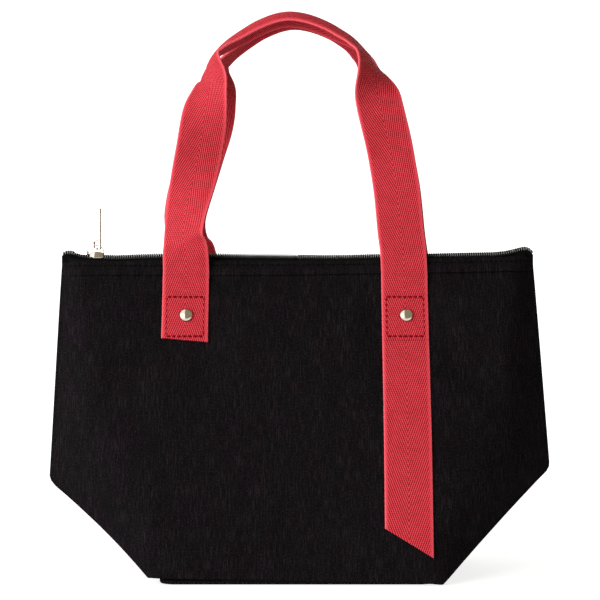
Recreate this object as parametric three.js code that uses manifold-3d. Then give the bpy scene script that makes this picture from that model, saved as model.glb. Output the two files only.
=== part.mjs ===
// Insulated lunch bag: a soft zip-top tote on a flat base, with two webbing handles and a loose strap end.
// Millimetres, +Z up. The origin is the middle of the base on the ground and the front faces -Y.
import * as THREE from 'three';
import { mergeVertices } from 'three/addons/utils/BufferGeometryUtils.js';
import Module from 'manifold-3d';

const wasm = await Module();
wasm.setup();

// Body of the bag
const baseLength = 182; // base rectangle along X
const baseDepth = 120; // base rectangle along Y
const earSpan = 328; // widest place, where the base folds run out into the side seams
const earHeight = 63.5; // height of that widest place
const mouthLength = 309; // between the side seams at the rim
const rimHeight = 201.5; // top of the wall layers
const rimDepth = 20; // front to back over the outer cloth at the rim
const wallBulge = 6; // how far a wall swells past a straight line from base to rim
const hemHeight = 3.5; // lower edge of the walls above the ground
const flatLength = 176; // straight middle of a wall at the base
const rimRoundOff = 16; // length over which the rim closes to the side seam

// Layers of the walls and the base
const clothThickness = 1;
const foamThickness = 3;
const liningThickness = 0.6;
const boardThickness = 2;
const fitGap = 0.3; // clearance between pieces that touch
const baseInset = 3; // base cloth stops this far behind the hem
const baseStripInset = 9; // and this far inside its two ends
const baseCornerRadius = 8;

// Rim band
const rimBandHeight = 8.5;
const rimBandThickness = 0.8;

// Webbing
const strapWidth = 30;
const strapThickness = 1.6;
const strapSpacing = 141.2; // between the middles of the two legs of a handle
const anchorDrop = 12; // from the rim band down to the stitched box, above which the handle is free
const anchorLength = 30; // from there down to the cut end
const tailShortLength = 115.5; // loose strap end to its slanted cut, inner side
const tailLongLength = 133.5; // loose strap end to its slanted cut, outer side
const handleRise = 161.9; // top of the front handle above the rim
const backHandleRaise = 3.2; // the grip of the back handle stands a little higher
const backHandleShift = 3; // and that handle is sewn a little to the right
const backHandleLean = 5.5; // its left leg leans back to the left

// Route of a handle above the rim, from the left leg over the grip to the right leg. Each row holds the place
// across as a share of the leg's distance from the middle, the rise as a share of the whole, the distance in
// front of the middle plane, and in degrees how far the face has turned upwards and how far it is folded.
const handleRoute = [
  [-1.012, 0.05, 15.2, 10, 0],
  [-1.036, 0.109, 15, 27, 0],
  [-1.018, 0.208, 13.6, 25, 0],
  [-0.962, 0.32, 14, 9, 0],
  [-0.904, 0.438, 17.5, -6, 0],
  [-0.867, 0.525, 21, 0, 0],
  [-0.839, 0.603, 22.8, 17, 0],
  [-0.803, 0.67, 23, 37, 2],
  [-0.776, 0.723, 22.6, 50, 4],
  [-0.78, 0.759, 21.8, 60, 5],
  [-0.785, 0.794, 20.8, 72, 8],
  [-0.771, 0.82, 19.4, 80, 14],
  [-0.711, 0.855, 17.6, 84, 40],
  [-0.623, 0.891, 16, 87, 76],
  [-0.51, 0.926, 15, 90, 104],
  [-0.382, 0.96, 14.4, 90, 114],
  [-0.212, 0.991, 14, 90, 118],
  [-0.057, 1, 14, 90, 118],
  [0.113, 0.988, 14, 90, 118],
  [0.283, 0.958, 14.2, 90, 112],
  [0.397, 0.929, 14.4, 88, 100],
  [0.496, 0.901, 15, 84, 80],
  [0.571, 0.867, 16.5, 79, 55],
  [0.622, 0.835, 18.6, 74, 30],
  [0.652, 0.798, 20.6, 67, 12],
  [0.671, 0.76, 21.6, 56, 6],
  [0.691, 0.723, 22, 40, 4],
  [0.714, 0.683, 22.4, 21, 2],
  [0.739, 0.639, 22.6, 6, 0],
  [0.779, 0.568, 21.6, 0, 0],
  [0.827, 0.487, 18.5, -3, 0],
  [0.864, 0.413, 15.5, -6, 0],
  [0.912, 0.282, 13.6, -4, 0],
  [0.955, 0.127, 13.2, 0, 0],
  [0.986, 0.05, 13.2, 0, 0],
];

// Cap rivets
const rivetDrop = 14.2; // from the top of the stitched box down to the rivet
const rivetCapRadius = 4.4;
const rivetCapHeight = 2.6;
const rivetPostRadius = 1.4;
const rivetHoleClearance = 0.4;
const rivetInnerRadius = 4;
const rivetInnerThickness = 1;
const rivetSocketDepth = 1.3;

// Zip
const coilRise = 3.9; // underside of the coil above the rim
const coilHeight = 2.8;
const coilWidth = 2.75;
const tapeThickness = 0.6;
const chainTapeWidth = 2.2; // strip of tape that the coil is sewn on
const chainLength = 292;
const coilStart = -133.9; // coil row starts behind the slider
const tapeLength = 276;
const stopLength = 1.6;
const bottomStopPlace = 141;
const topStopPlace = -138.3;
const endTabHeightLeft = 8;
const endTabHeightRight = 10.5;
const endTabDepth = 5;

// Slider and pull
const sliderPlace = -131.75; // middle of the slider at the closed end of the zip
const sliderLength = 9.5;
const sliderWidth = 9.2;
const sliderPlate = 1.1;
const sliderPost = 2.3;
const sliderPostWidth = 3.2;
const bailHalfSpan = 3.5;
const bailRise = 3.6;
const bailWire = 1.3;
const pullLength = 27.5; // from the hinge to the free end
const pullWidth = 8.5;
const pullThickness = 1.2;
const pullBar = 1.5;
const pullSlotWidth = 5.2;
const pullSlotLength = 5.9;
const pullTurn = -40; // degrees that the pull stands turned about the vertical

const wallStack = clothThickness + foamThickness + liningThickness + 2 * fitGap;
const seamHalf = clothThickness + fitGap / 2;
const legX = strapSpacing / 2;
const bandLower = rimHeight - rimBandHeight;
const anchorTop = bandLower - anchorDrop;
const anchorBottom = anchorTop - anchorLength;
const rivetHeight = anchorTop - rivetDrop;
const coilBottom = rimHeight + coilRise;
const seamStripCount = 2; // grid strips at each side seam that hold outer cloth only

const blackCloth = { color: '#17151a', roughness: 0.9, metalness: 0 };
const whiteFoam = { color: '#e6e6e2', roughness: 0.95, metalness: 0 };
const foil = { color: '#c9ccd0', roughness: 0.32, metalness: 0.85 };
const redWebbing = { color: '#b7303b', roughness: 0.8, metalness: 0 };
const nickel = { color: '#cfcac4', roughness: 0.22, metalness: 1 };
const blackNylon = { color: '#101012', roughness: 0.55, metalness: 0 };
const blackBoard = { color: '#222224', roughness: 0.6, metalness: 0 };

const bag = new THREE.Group();

function piece(parent, name, geometry, look) {
  const mesh = new THREE.Mesh(geometry, new THREE.MeshStandardMaterial(look));
  mesh.name = name;
  parent.add(mesh);
  return mesh;
}

function mix(a, b, t) {
  return a + (b - a) * t;
}

function smooth(t) {
  const c = Math.min(Math.max(t, 0), 1);
  return c * c * (3 - 2 * c);
}

function toSolid(geometry) {
  const bare = new THREE.BufferGeometry();
  bare.setAttribute('position', geometry.getAttribute('position'));
  bare.setIndex(geometry.index);
  const merged = mergeVertices(bare.index ? bare.toNonIndexed() : bare, 1e-4);
  const mesh = new wasm.Mesh({
    numProp: 3,
    vertProperties: new Float32Array(merged.getAttribute('position').array),
    triVerts: new Uint32Array(merged.index.array),
  });
  return new wasm.Manifold(mesh);
}

function toGeometry(solid) {
  const mesh = solid.getMesh();
  const geometry = new THREE.BufferGeometry();
  geometry.setAttribute('position', new THREE.BufferAttribute(new Float32Array(mesh.vertProperties), 3));
  geometry.setIndex(new THREE.BufferAttribute(new Uint32Array(mesh.triVerts), 1));
  return geometry;
}

function box(x0, x1, y0, y1, z0, z1) {
  const geometry = new THREE.BoxGeometry(x1 - x0, y1 - y0, z1 - z0);
  return geometry.translate((x0 + x1) / 2, (y0 + y1) / 2, (z0 + z1) / 2);
}

// Closed solid between two faces drawn over the same grid
function sheetSolid(columns, rows, outerPoint, innerPoint) {
  const positions = [];
  const index = [];
  const stride = columns + 1;
  const half = stride * (rows + 1);
  for (const point of [outerPoint, innerPoint]) {
    for (let j = 0; j <= rows; j++) {
      for (let i = 0; i <= columns; i++) positions.push(...point(i, j));
    }
  }
  const at = (side, i, j) => side * half + j * stride + i;
  const quad = (a, b, c, d) => index.push(a, b, c, a, c, d);
  for (let j = 0; j < rows; j++) {
    for (let i = 0; i < columns; i++) {
      quad(at(0, i, j), at(0, i + 1, j), at(0, i + 1, j + 1), at(0, i, j + 1));
      quad(at(1, i, j), at(1, i, j + 1), at(1, i + 1, j + 1), at(1, i + 1, j));
    }
    quad(at(0, 0, j), at(0, 0, j + 1), at(1, 0, j + 1), at(1, 0, j));
    quad(at(0, columns, j), at(1, columns, j), at(1, columns, j + 1), at(0, columns, j + 1));
  }
  for (let i = 0; i < columns; i++) {
    quad(at(0, i, 0), at(1, i, 0), at(1, i + 1, 0), at(0, i + 1, 0));
    quad(at(0, i, rows), at(0, i + 1, rows), at(1, i + 1, rows), at(1, i, rows));
  }
  const geometry = new THREE.BufferGeometry();
  geometry.setAttribute('position', new THREE.BufferAttribute(new Float32Array(positions), 3));
  geometry.setIndex(index);
  return geometry;
}

// Shape of the front wall: half length at a height, and depth from the middle plane
function halfLength(z) {
  if (z < earHeight) return mix(baseLength / 2, earSpan / 2, z / earHeight);
  return mix(earSpan / 2, mouthLength / 2, (z - earHeight) / (rimHeight - earHeight));
}

function foldDepth(z) {
  return Math.max(seamHalf, (baseDepth / 2) * (1 - z / earHeight));
}

function middleDepth(z) {
  const t = z / rimHeight;
  return mix(baseDepth / 2, rimDepth / 2, t) + 4 * wallBulge * t * (1 - t);
}

function flatHalf(z) {
  return mix(flatLength / 2, mouthLength / 2 - rimRoundOff, smooth(z / rimHeight));
}

function wallDepth(x, z) {
  const flat = flatHalf(z);
  const reach = halfLength(z);
  const out = Math.abs(x);
  const t = Math.min(Math.max((out - flat) / (reach - flat), 0), 1);
  return foldDepth(z) + (middleDepth(z) - foldDepth(z)) * Math.cos((t * Math.PI) / 2);
}

function wallSlope(z) {
  return (middleDepth(z + 0.5) - middleDepth(z - 0.5)) / 1;
}

function heights(from, to, rows) {
  return Array.from({ length: rows + 1 }, (_, i) => mix(from, to, i / rows));
}

// One layer of a wall, from the outer offset inwards by its thickness. The inner layers leave out the
// outermost strips of the same grid, where the side seam has no room for them.
function wallLayer(levels, leaveOut, outer, thickness) {
  const edgeStripCount = 6;
  const middleStripCount = 2;
  const stripCount = 2 * edgeStripCount + middleStripCount;
  const across = (i, z) => {
    const half = halfLength(z);
    const flat = flatHalf(z);
    if (i <= edgeStripCount) return mix(-half, -flat, i / edgeStripCount);
    if (i >= stripCount - edgeStripCount) return mix(half, flat, (stripCount - i) / edgeStripCount);
    return mix(-flat, flat, (i - edgeStripCount) / middleStripCount);
  };
  const face = (offset) => (i, j) => {
    const z = levels[j];
    const x = across(i + leaveOut, z);
    return [x, offset - wallDepth(x, z), z];
  };
  return sheetSolid(stripCount - 2 * leaveOut, levels.length - 1, face(outer), face(outer + thickness));
}

// Flat webbing lying on the wall between two sides, with a slanted lower end
function wallStrap(x0, x1, lowAtX0, lowAtX1, top, rows, outer) {
  const face = (offset) => (i, j) => {
    const x = mix(x0, x1, i);
    const z = mix(mix(lowAtX0, lowAtX1, i), top, j / rows);
    return [x, -offset - wallDepth(x, z), z];
  };
  return sheetSolid(1, rows, face(outer + strapThickness), face(outer));
}

// Handle webbing: up the wall, over the rim band, then along its route, turning and folding into a grip
function handleWebbing(raise, lean) {
  const reach = handleRise - strapThickness / 2;
  const onWall = fitGap + strapThickness / 2;
  const onBand = 2 * fitGap + rimBandThickness + onWall;
  const bandStep = rimBandHeight / 3;
  const wallLevels = [anchorTop + fitGap, mix(anchorTop, bandLower, 0.25), mix(anchorTop, bandLower, 0.75)];
  wallLevels.push(bandLower + bandStep, rimHeight);
  const sewnLeg = (side) => wallLevels.map((z) => {
    const rest = mix(onWall, onBand, smooth((z - anchorTop) / (0.75 * anchorDrop)));
    return { at: new THREE.Vector3(side * legX, -wallDepth(legX, z) - rest, z), turn: 0, fold: 0 };
  });
  const loop = handleRoute.map(([place, rise, forward, turn, fold]) => {
    const lifted = raise * smooth((rise - 0.8) / 0.155);
    const leant = place < 0 ? lean * smooth((rise - 0.022) / 0.174) * smooth((0.705 - rise) / 0.466) : 0;
    const at = new THREE.Vector3(place * legX - leant, -forward, rimHeight + rise * reach + lifted);
    return { at, turn, fold };
  });
  const path = [...sewnLeg(-1), ...loop, ...sewnLeg(1).reverse()];
  const columnCount = 4;
  const frames = path.map(({ at, turn, fold }, j) => {
    const before = path[Math.max(j - 1, 0)].at;
    const after = path[Math.min(j + 1, path.length - 1)].at;
    const along = after.clone().sub(before).normalize();
    const inward = new THREE.Vector3(along.z, 0, -along.x).normalize();
    const angle = (turn * Math.PI) / 180;
    const forward = new THREE.Vector3(0, -1, 0);
    const across = inward.multiplyScalar(Math.cos(angle)).addScaledVector(forward, Math.sin(angle));
    const out = across.clone().cross(along).normalize();
    return { at, across: along.clone().cross(out).normalize(), out, bend: (fold * Math.PI) / 180 };
  });
  const face = (side) => (i, j) => {
    const { at, across, out } = frames[j];
    const u = i / columnCount - 0.5;
    const bend = Math.max(frames[j].bend, 1e-3);
    const radius = strapWidth / bend;
    const place = at.clone().addScaledVector(across, radius * Math.sin(bend * u));
    place.addScaledVector(out, radius * (Math.cos(bend * u) - 1));
    place.addScaledVector(out, side * Math.cos(bend * u)).addScaledVector(across, side * Math.sin(bend * u));
    return place.toArray();
  };
  return sheetSolid(columnCount, path.length - 1, face(strapThickness / 2), face(-strapThickness / 2));
}

// Turns a piece drawn along +Y so that +Y points straight out of the front wall at the rivets
function onRivetAxis(geometry, x) {
  const slope = wallSlope(rivetHeight);
  const out = new THREE.Vector3(0, -1, -slope).normalize();
  const turn = new THREE.Quaternion().setFromUnitVectors(new THREE.Vector3(0, 1, 0), out);
  const face = -wallDepth(x, rivetHeight) - fitGap - strapThickness;
  return geometry.applyQuaternion(turn).translate(x, face, rivetHeight);
}

function lathe(profile, segments) {
  return new THREE.LatheGeometry(profile.map(([r, h]) => new THREE.Vector2(r, h)), segments);
}

function rivetCap(x) {
  const socket = rivetPostRadius + fitGap / 2;
  const profile = [
    [0, fitGap + rivetSocketDepth],
    [socket, fitGap + rivetSocketDepth],
    [socket, fitGap],
    [rivetCapRadius - 0.3, fitGap],
    [rivetCapRadius, fitGap + 0.4],
    [rivetCapRadius * 0.93, fitGap + rivetCapHeight * 0.5],
    [rivetCapRadius * 0.72, fitGap + rivetCapHeight * 0.78],
    [rivetCapRadius * 0.38, fitGap + rivetCapHeight * 0.95],
    [0, fitGap + rivetCapHeight],
  ];
  return onRivetAxis(lathe(profile, 16), x);
}

function rivetPost(x) {
  const lean = Math.cos(Math.atan(wallSlope(rivetHeight)));
  const inner = -(strapThickness + fitGap + wallStack) * lean - fitGap;
  const profile = [
    [0, inner - rivetInnerThickness],
    [rivetInnerRadius * 0.8, inner - rivetInnerThickness],
    [rivetInnerRadius, inner - rivetInnerThickness * 0.5],
    [rivetInnerRadius, inner],
    [rivetPostRadius, inner],
    [rivetPostRadius, fitGap + rivetSocketDepth - fitGap],
    [0, fitGap + rivetSocketDepth - fitGap],
  ];
  return onRivetAxis(lathe(profile, 12), x);
}

function drilled(geometry, spots) {
  let solid = toSolid(geometry);
  for (const x of spots) {
    const reach = 2 * (wallStack + strapThickness);
    const drill = new THREE.CylinderGeometry(
      rivetPostRadius + rivetHoleClearance,
      rivetPostRadius + rivetHoleClearance,
      2 * reach,
      12,
    );
    solid = solid.subtract(toSolid(onRivetAxis(drill, x)));
  }
  return toGeometry(solid);
}

// One wall with its layers, zip half, anchors and rivets, drawn as the front one
function wall(side, shift) {
  const group = new THREE.Group();
  const upper = heights(earHeight, rimHeight, 7);
  const levels = [...heights(hemHeight, earHeight, 3), ...upper.slice(1)];
  const spots = [-legX + shift, legX + shift];
  const foamOuter = clothThickness + fitGap;
  const liningOuter = foamOuter + foamThickness + fitGap;
  piece(group, `${side}_panel`, drilled(wallLayer(levels, 0, 0, clothThickness), spots), blackCloth);
  const foamSheet = wallLayer(levels, seamStripCount, foamOuter, foamThickness);
  piece(group, `${side}_foam`, drilled(foamSheet, spots), whiteFoam);
  const liningSheet = wallLayer(levels, seamStripCount, liningOuter, liningThickness);
  piece(group, `${side}_lining`, drilled(liningSheet, spots), foil);
  const bandLevels = heights(rimHeight - rimBandHeight, rimHeight, 1);
  const band = wallLayer(bandLevels, 0, -fitGap - rimBandThickness, rimBandThickness);
  piece(group, `${side}_rim_band`, band, blackCloth);

  const anchors = { left: -legX + shift, right: legX + shift };
  for (const [name, x] of Object.entries(anchors)) {
    const sides = [x - strapWidth / 2, x + strapWidth / 2];
    const strap = wallStrap(...sides, anchorBottom, anchorBottom, anchorTop, 2, fitGap);
    piece(group, `${side}_${name}_anchor`, drilled(strap, [x]), redWebbing);
    piece(group, `${side}_${name}_rivet_cap`, rivetCap(x), nickel);
    piece(group, `${side}_${name}_rivet_post`, rivetPost(x), nickel);
  }
  zipHalf(group, side);
  return group;
}

// Zip tape from the rim up to the chain, the coil row on its strip, and the top stop
function zipHalf(group, side) {
  const coilInner = -fitGap / 2;
  const coilOuter = coilInner - coilWidth;
  const stripOuter = coilOuter - chainTapeWidth;
  const stripBottom = coilBottom + (coilHeight - tapeThickness) / 4;
  const stripTop = stripBottom + tapeThickness;
  const strip = box(-chainLength / 2, chainLength / 2, stripOuter, coilOuter + 0.5, stripBottom, stripTop);
  const coil = box(coilStart, chainLength / 2, coilOuter, coilInner, coilBottom, coilBottom + coilHeight);
  piece(group, `${side}_zip_chain`, toGeometry(toSolid(strip).add(toSolid(coil))), blackNylon);

  const foot = rimHeight + fitGap;
  const footOuter = -rimDepth / 2 + clothThickness / 2;
  const tapeInner = stripOuter - fitGap;
  const profile = new THREE.Shape([
    new THREE.Vector2(footOuter, foot),
    new THREE.Vector2(footOuter + 1.5 * tapeThickness, foot),
    new THREE.Vector2(tapeInner, stripBottom),
    new THREE.Vector2(tapeInner, stripTop),
  ]);
  const tape = new THREE.ExtrudeGeometry(profile, { depth: tapeLength, bevelEnabled: false });
  tape.applyMatrix4(new THREE.Matrix4().set(0, 0, 1, -tapeLength / 2, 1, 0, 0, 0, 0, 1, 0, 0, 0, 0, 0, 1));
  piece(group, `${side}_zip_tape`, tape, blackCloth);

  const stopInner = coilOuter + 0.9;
  const stop = box(
    topStopPlace - stopLength / 2,
    topStopPlace + stopLength / 2,
    stripOuter + 0.5,
    stopInner,
    stripTop + fitGap,
    stripTop + fitGap + 1.5,
  );
  piece(group, `${side}_zip_stop`, stop, nickel);
}

// Folded tape end that closes the zip at a side seam
function endTab(sign, height) {
  const inner = chainLength / 2 + fitGap;
  const outer = mouthLength / 2 - 0.5;
  const low = rimHeight + fitGap;
  const cut = 2.5;
  const shape = new THREE.Shape([
    new THREE.Vector2(inner, low),
    new THREE.Vector2(outer, low),
    new THREE.Vector2(outer, low + height - cut),
    new THREE.Vector2(outer - cut, low + height),
    new THREE.Vector2(inner + cut, low + height),
    new THREE.Vector2(inner, low + height - cut),
  ]);
  const tab = new THREE.ExtrudeGeometry(shape, { depth: endTabDepth, bevelEnabled: false });
  tab.translate(0, 0, -endTabDepth / 2).rotateX(Math.PI / 2);
  return sign > 0 ? tab : tab.rotateZ(Math.PI);
}

// Base: outer cloth, board, foam and lining, stacked from the ground up. The cloth is the smallest, so that
// the bag stands on a strip set back from the hem, and the board closes the base right out to the hem.
function baseStack() {
  const hemHalf = halfLength(hemHeight);
  const inside = hemHeight + foamThickness + liningThickness + 2 * fitGap;
  const clearDepth = middleDepth(inside) - wallStack - fitGap;
  const slope = Math.hypot(earSpan / 2 - baseLength / 2, earHeight) / earHeight;
  const clearHalf = hemHalf - (foamThickness + liningThickness + 2 * fitGap) * slope;
  const layers = [
    ['base_panel', clothThickness, hemHalf - baseStripInset, baseDepth / 2 - baseInset, blackCloth],
    ['base_board', boardThickness, hemHalf - baseInset / 2, baseDepth / 2 - baseInset / 2, blackBoard],
    ['base_foam', foamThickness, clearHalf, clearDepth, whiteFoam],
    ['base_lining', liningThickness, clearHalf, clearDepth, foil],
  ];
  let low = 0;
  for (const [name, thickness, x, y, look] of layers) {
    const shape = roundedRectangle(2 * x, 2 * y, baseCornerRadius);
    const raised = { depth: thickness, bevelEnabled: false, curveSegments: 4 };
    const slab = new THREE.ExtrudeGeometry(shape, raised);
    piece(bag, name, slab.translate(0, 0, low), look);
    low += thickness + fitGap;
  }
}

function roundedRectangle(length, width, radius) {
  const x = length / 2;
  const y = width / 2;
  const shape = new THREE.Shape();
  shape.moveTo(-x + radius, -y);
  shape.lineTo(x - radius, -y);
  shape.absarc(x - radius, -y + radius, radius, -Math.PI / 2, 0);
  shape.lineTo(x, y - radius);
  shape.absarc(x - radius, y - radius, radius, 0, Math.PI / 2);
  shape.lineTo(-x + radius, y);
  shape.absarc(-x + radius, y - radius, radius, Math.PI / 2, Math.PI);
  shape.lineTo(-x, -y + radius);
  shape.absarc(-x + radius, -y + radius, radius, Math.PI, 1.5 * Math.PI);
  return shape;
}

// Base gusset: the triangle that runs out from the base's short side to the ear
function gusset(name, sign) {
  const rise = new THREE.Vector2(earSpan / 2 - baseLength / 2, earHeight).normalize();
  const layers = [
    ['gusset', -fitGap - clothThickness, clothThickness, 0, blackCloth],
    ['gusset_foam', 0, foamThickness, wallStack + fitGap, whiteFoam],
    ['gusset_lining', foamThickness + fitGap, liningThickness, wallStack + fitGap, foil],
  ];
  for (const [kind, inner, thickness, tuck, look] of layers) {
    const tip = earHeight * (1 - (tuck + 1.2) / (baseDepth / 2));
    const levels = [hemHeight, tip];
    const face = (offset) => (i, j) => {
      const z = levels[j];
      const y = ((baseDepth / 2) * (1 - z / earHeight) - tuck) * (2 * i - 1);
      const x = mix(baseLength / 2, earSpan / 2, z / earHeight);
      return [x - offset * rise.y, y, z + offset * rise.x];
    };
    const plate = sheetSolid(1, 1, face(inner), face(inner + thickness));
    piece(bag, `${name}_${kind}`, sign > 0 ? plate : plate.rotateZ(Math.PI), look);
  }
}

// Slider: two plates joined by a post, lips that hold the coils, and the bail for the pull
class BailCurve extends THREE.Curve {
  getPoint(t) {
    const angle = Math.PI * (1 - t);
    return new THREE.Vector3(bailHalfSpan * Math.cos(angle), 0, bailRise * Math.sin(angle));
  }
}

function sliderTop() {
  return coilBottom + coilHeight + fitGap + sliderPlate;
}

function pullHinge() {
  return sliderTop() + pullBar;
}

function slider() {
  const x0 = sliderPlace - sliderLength / 2;
  const x1 = sliderPlace + sliderLength / 2;
  const lower = coilBottom - fitGap;
  const upper = coilBottom + coilHeight + fitGap;
  const half = sliderWidth / 2;
  const lipInner = fitGap / 2 + coilWidth + fitGap;
  const stripBottom = coilBottom + (coilHeight - tapeThickness) / 4;
  const stripTop = stripBottom + tapeThickness;
  let body = toSolid(sliderPlateShape(lower - sliderPlate, sliderPlate));
  body = body.add(toSolid(sliderPlateShape(upper, sliderPlate)));
  const post = box(x0, x0 + sliderPost, -sliderPostWidth / 2, sliderPostWidth / 2, lower - 0.5, upper + 0.5);
  body = body.add(toSolid(post));
  for (const sign of [-1, 1]) {
    const y0 = sign > 0 ? lipInner : -half + 0.4;
    const y1 = sign > 0 ? half - 0.4 : -lipInner;
    const lip = [x0 + sliderPost + 0.7, x1 - 0.6, y0, y1];
    body = body.add(toSolid(box(...lip, stripTop + fitGap, upper + 0.4)));
    body = body.add(toSolid(box(...lip, lower - 0.4, stripBottom - fitGap)));
  }
  const ring = new THREE.Shape().absarc(0, 0, bailWire / 2, 0, 2 * Math.PI);
  const arch = new THREE.ExtrudeGeometry(ring, { steps: 12, extrudePath: new BailCurve(), curveSegments: 4 });
  arch.translate(sliderPlace, 0, upper + sliderPlate - 0.3);
  body = body.add(toSolid(arch));
  piece(bag, 'zip_slider', toGeometry(body), nickel);
}

// Slider plate outline: broad at the nose where the rows part, narrower at the tail
function sliderPlateShape(low, thickness) {
  const l = sliderLength / 2;
  const w = sliderWidth / 2;
  const shape = new THREE.Shape();
  shape.moveTo(-l, -w * 0.55);
  shape.lineTo(-l * 0.55, -w);
  shape.lineTo(l * 0.75, -w * 0.94);
  shape.lineTo(l, -w * 0.7);
  shape.lineTo(l, w * 0.7);
  shape.lineTo(l * 0.75, w * 0.94);
  shape.lineTo(-l * 0.55, w);
  shape.lineTo(-l, w * 0.55);
  shape.closePath();
  const plate = new THREE.ExtrudeGeometry(shape, { depth: thickness, bevelEnabled: false });
  return plate.translate(sliderPlace, 0, low);
}

// Pull plate with the slot that the bail passes through
function pull() {
  const shape = roundedOutline(pullWidth, -pullBar / 2, pullLength, 1.2);
  shape.holes.push(roundedOutline(pullSlotWidth, pullBar / 2, pullBar / 2 + pullSlotLength, 0.6));
  const raised = { depth: pullThickness, bevelEnabled: false, curveSegments: 4 };
  const plate = new THREE.ExtrudeGeometry(shape, raised);
  plate.translate(0, 0, -pullThickness / 2).rotateX(Math.PI / 2).rotateZ(Math.PI / 2);
  plate.rotateZ((-pullTurn * Math.PI) / 180).translate(sliderPlace, 0, pullHinge());
  piece(bag, 'zip_pull', plate, nickel);
}

function roundedOutline(width, low, high, radius) {
  const x = width / 2;
  const shape = new THREE.Shape();
  shape.moveTo(-x + radius, low);
  shape.lineTo(x - radius, low);
  shape.absarc(x - radius, low + radius, radius, -Math.PI / 2, 0);
  shape.lineTo(x, high - radius);
  shape.absarc(x - radius, high - radius, radius, 0, Math.PI / 2);
  shape.lineTo(-x + radius, high);
  shape.absarc(-x + radius, high - radius, radius, Math.PI / 2, Math.PI);
  shape.lineTo(-x, low + radius);
  shape.absarc(-x + radius, low + radius, radius, Math.PI, 1.5 * Math.PI);
  return shape;
}

baseStack();
gusset('left', -1);
gusset('right', 1);

const front = wall('front', 0);
const tailTop = anchorBottom - fitGap;
const tailEnds = [anchorBottom - tailShortLength, anchorBottom - tailLongLength];
const tail = wallStrap(legX - strapWidth / 2, legX + strapWidth / 2, ...tailEnds, tailTop, 9, fitGap);
piece(front, 'strap_tail', tail, redWebbing);
piece(front, 'front_handle', handleWebbing(0, 0), redWebbing);
bag.add(front);

const back = wall('back', backHandleShift);
const backLoop = handleWebbing(backHandleRaise, backHandleLean).translate(backHandleShift, 0, 0);
piece(back, 'back_handle', backLoop, redWebbing);
back.scale.y = -1;
bag.add(back);

piece(bag, 'left_zip_end', endTab(-1, endTabHeightLeft), blackCloth);
piece(bag, 'right_zip_end', endTab(1, endTabHeightRight), blackCloth);
const stopLow = coilBottom + coilHeight + fitGap;
const stopHalf = coilWidth + fitGap / 2;
const stopEnds = [bottomStopPlace - stopLength / 2, bottomStopPlace + stopLength / 2];
piece(bag, 'zip_bottom_stop', box(...stopEnds, -stopHalf, stopHalf, stopLow, stopLow + 0.8), nickel);
slider();
pull();

export default bag;
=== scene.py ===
import math
import random

import bmesh
import bpy
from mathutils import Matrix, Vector


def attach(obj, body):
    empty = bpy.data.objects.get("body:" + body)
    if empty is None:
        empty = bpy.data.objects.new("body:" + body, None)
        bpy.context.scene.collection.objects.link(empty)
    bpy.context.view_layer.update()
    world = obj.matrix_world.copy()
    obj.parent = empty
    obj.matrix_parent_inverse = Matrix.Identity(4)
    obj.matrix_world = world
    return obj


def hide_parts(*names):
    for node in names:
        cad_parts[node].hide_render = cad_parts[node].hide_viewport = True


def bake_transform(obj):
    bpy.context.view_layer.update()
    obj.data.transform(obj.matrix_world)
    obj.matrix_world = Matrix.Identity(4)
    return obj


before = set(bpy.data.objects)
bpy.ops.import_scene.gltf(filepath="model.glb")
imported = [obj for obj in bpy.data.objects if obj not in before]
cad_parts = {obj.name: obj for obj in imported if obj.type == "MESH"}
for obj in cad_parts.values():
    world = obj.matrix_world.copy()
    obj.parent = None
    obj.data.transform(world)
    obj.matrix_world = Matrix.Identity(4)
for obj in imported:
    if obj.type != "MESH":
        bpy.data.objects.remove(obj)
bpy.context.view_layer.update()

# Insulated lunch bag, front towards -Y. Pieces are given in millimetres, which addPiece makes into metres.
mm = 0.001
dice = random.Random(41)
scene = bpy.context.scene


def mix(a, b, t):
    return a + (b - a) * t


def clamp(t, low=0.0, high=1.0):
    return min(max(t, low), high)


def smooth(t):
    c = clamp(t)
    return c * c * (3 - 2 * c)


def linear(hexText):
    parts = [int(hexText[i:i + 2], 16) / 255 for i in (1, 3, 5)]
    return tuple(p / 12.92 if p <= 0.04045 else ((p + 0.055) / 1.055) ** 2.4 for p in parts) + (1.0,)


# each socket of a node gets a value, or a link from another node's output
def wire(tree, node, sockets):
    for socket, value in sockets.items():
        if isinstance(value, bpy.types.NodeSocket):
            tree.links.new(value, node.inputs[socket])
        else:
            node.inputs[socket].default_value = value


# one node with its settings and links
def addNode(tree, kind, sockets=None, **settings):
    made = tree.nodes.new("ShaderNode" + kind)
    for key, value in settings.items():
        setattr(made, key, value)
    wire(tree, made, sockets or {})
    return made


def startMaterial(name, sockets):
    material = bpy.data.materials.new(name)
    material.use_nodes = True
    tree = material.node_tree
    shader = tree.nodes["Principled BSDF"]
    wire(tree, shader, sockets)
    return material, tree, shader


def addPiece(name, points, faces, material, uvs=None, soft=True):
    mesh = bpy.data.meshes.new(name)
    mesh.from_pydata([(x * mm, y * mm, z * mm) for x, y, z in points], [], faces)
    if uvs:
        layer = mesh.uv_layers.new(name="clothGrain")
        for loop in mesh.loops:
            u, v = uvs[loop.vertex_index]
            layer.data[loop.index].uv = (u * mm, v * mm)
    shell = bmesh.new()
    shell.from_mesh(mesh)
    bmesh.ops.recalc_face_normals(shell, faces=shell.faces)
    shell.to_mesh(mesh)
    shell.free()
    mesh.polygons.foreach_set("use_smooth", [soft] * len(mesh.polygons))
    mesh.materials.append(material)
    obj = bpy.data.objects.new(name, mesh)
    scene.collection.objects.link(obj)
    return obj


# quads between two rows of point numbers
def strip(faces, rowA, rowB, closed=False):
    count = len(rowA)
    for k in range(count if closed else count - 1):
        n = (k + 1) % count
        faces.append((rowA[k], rowA[n], rowB[n], rowB[k]))


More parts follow.
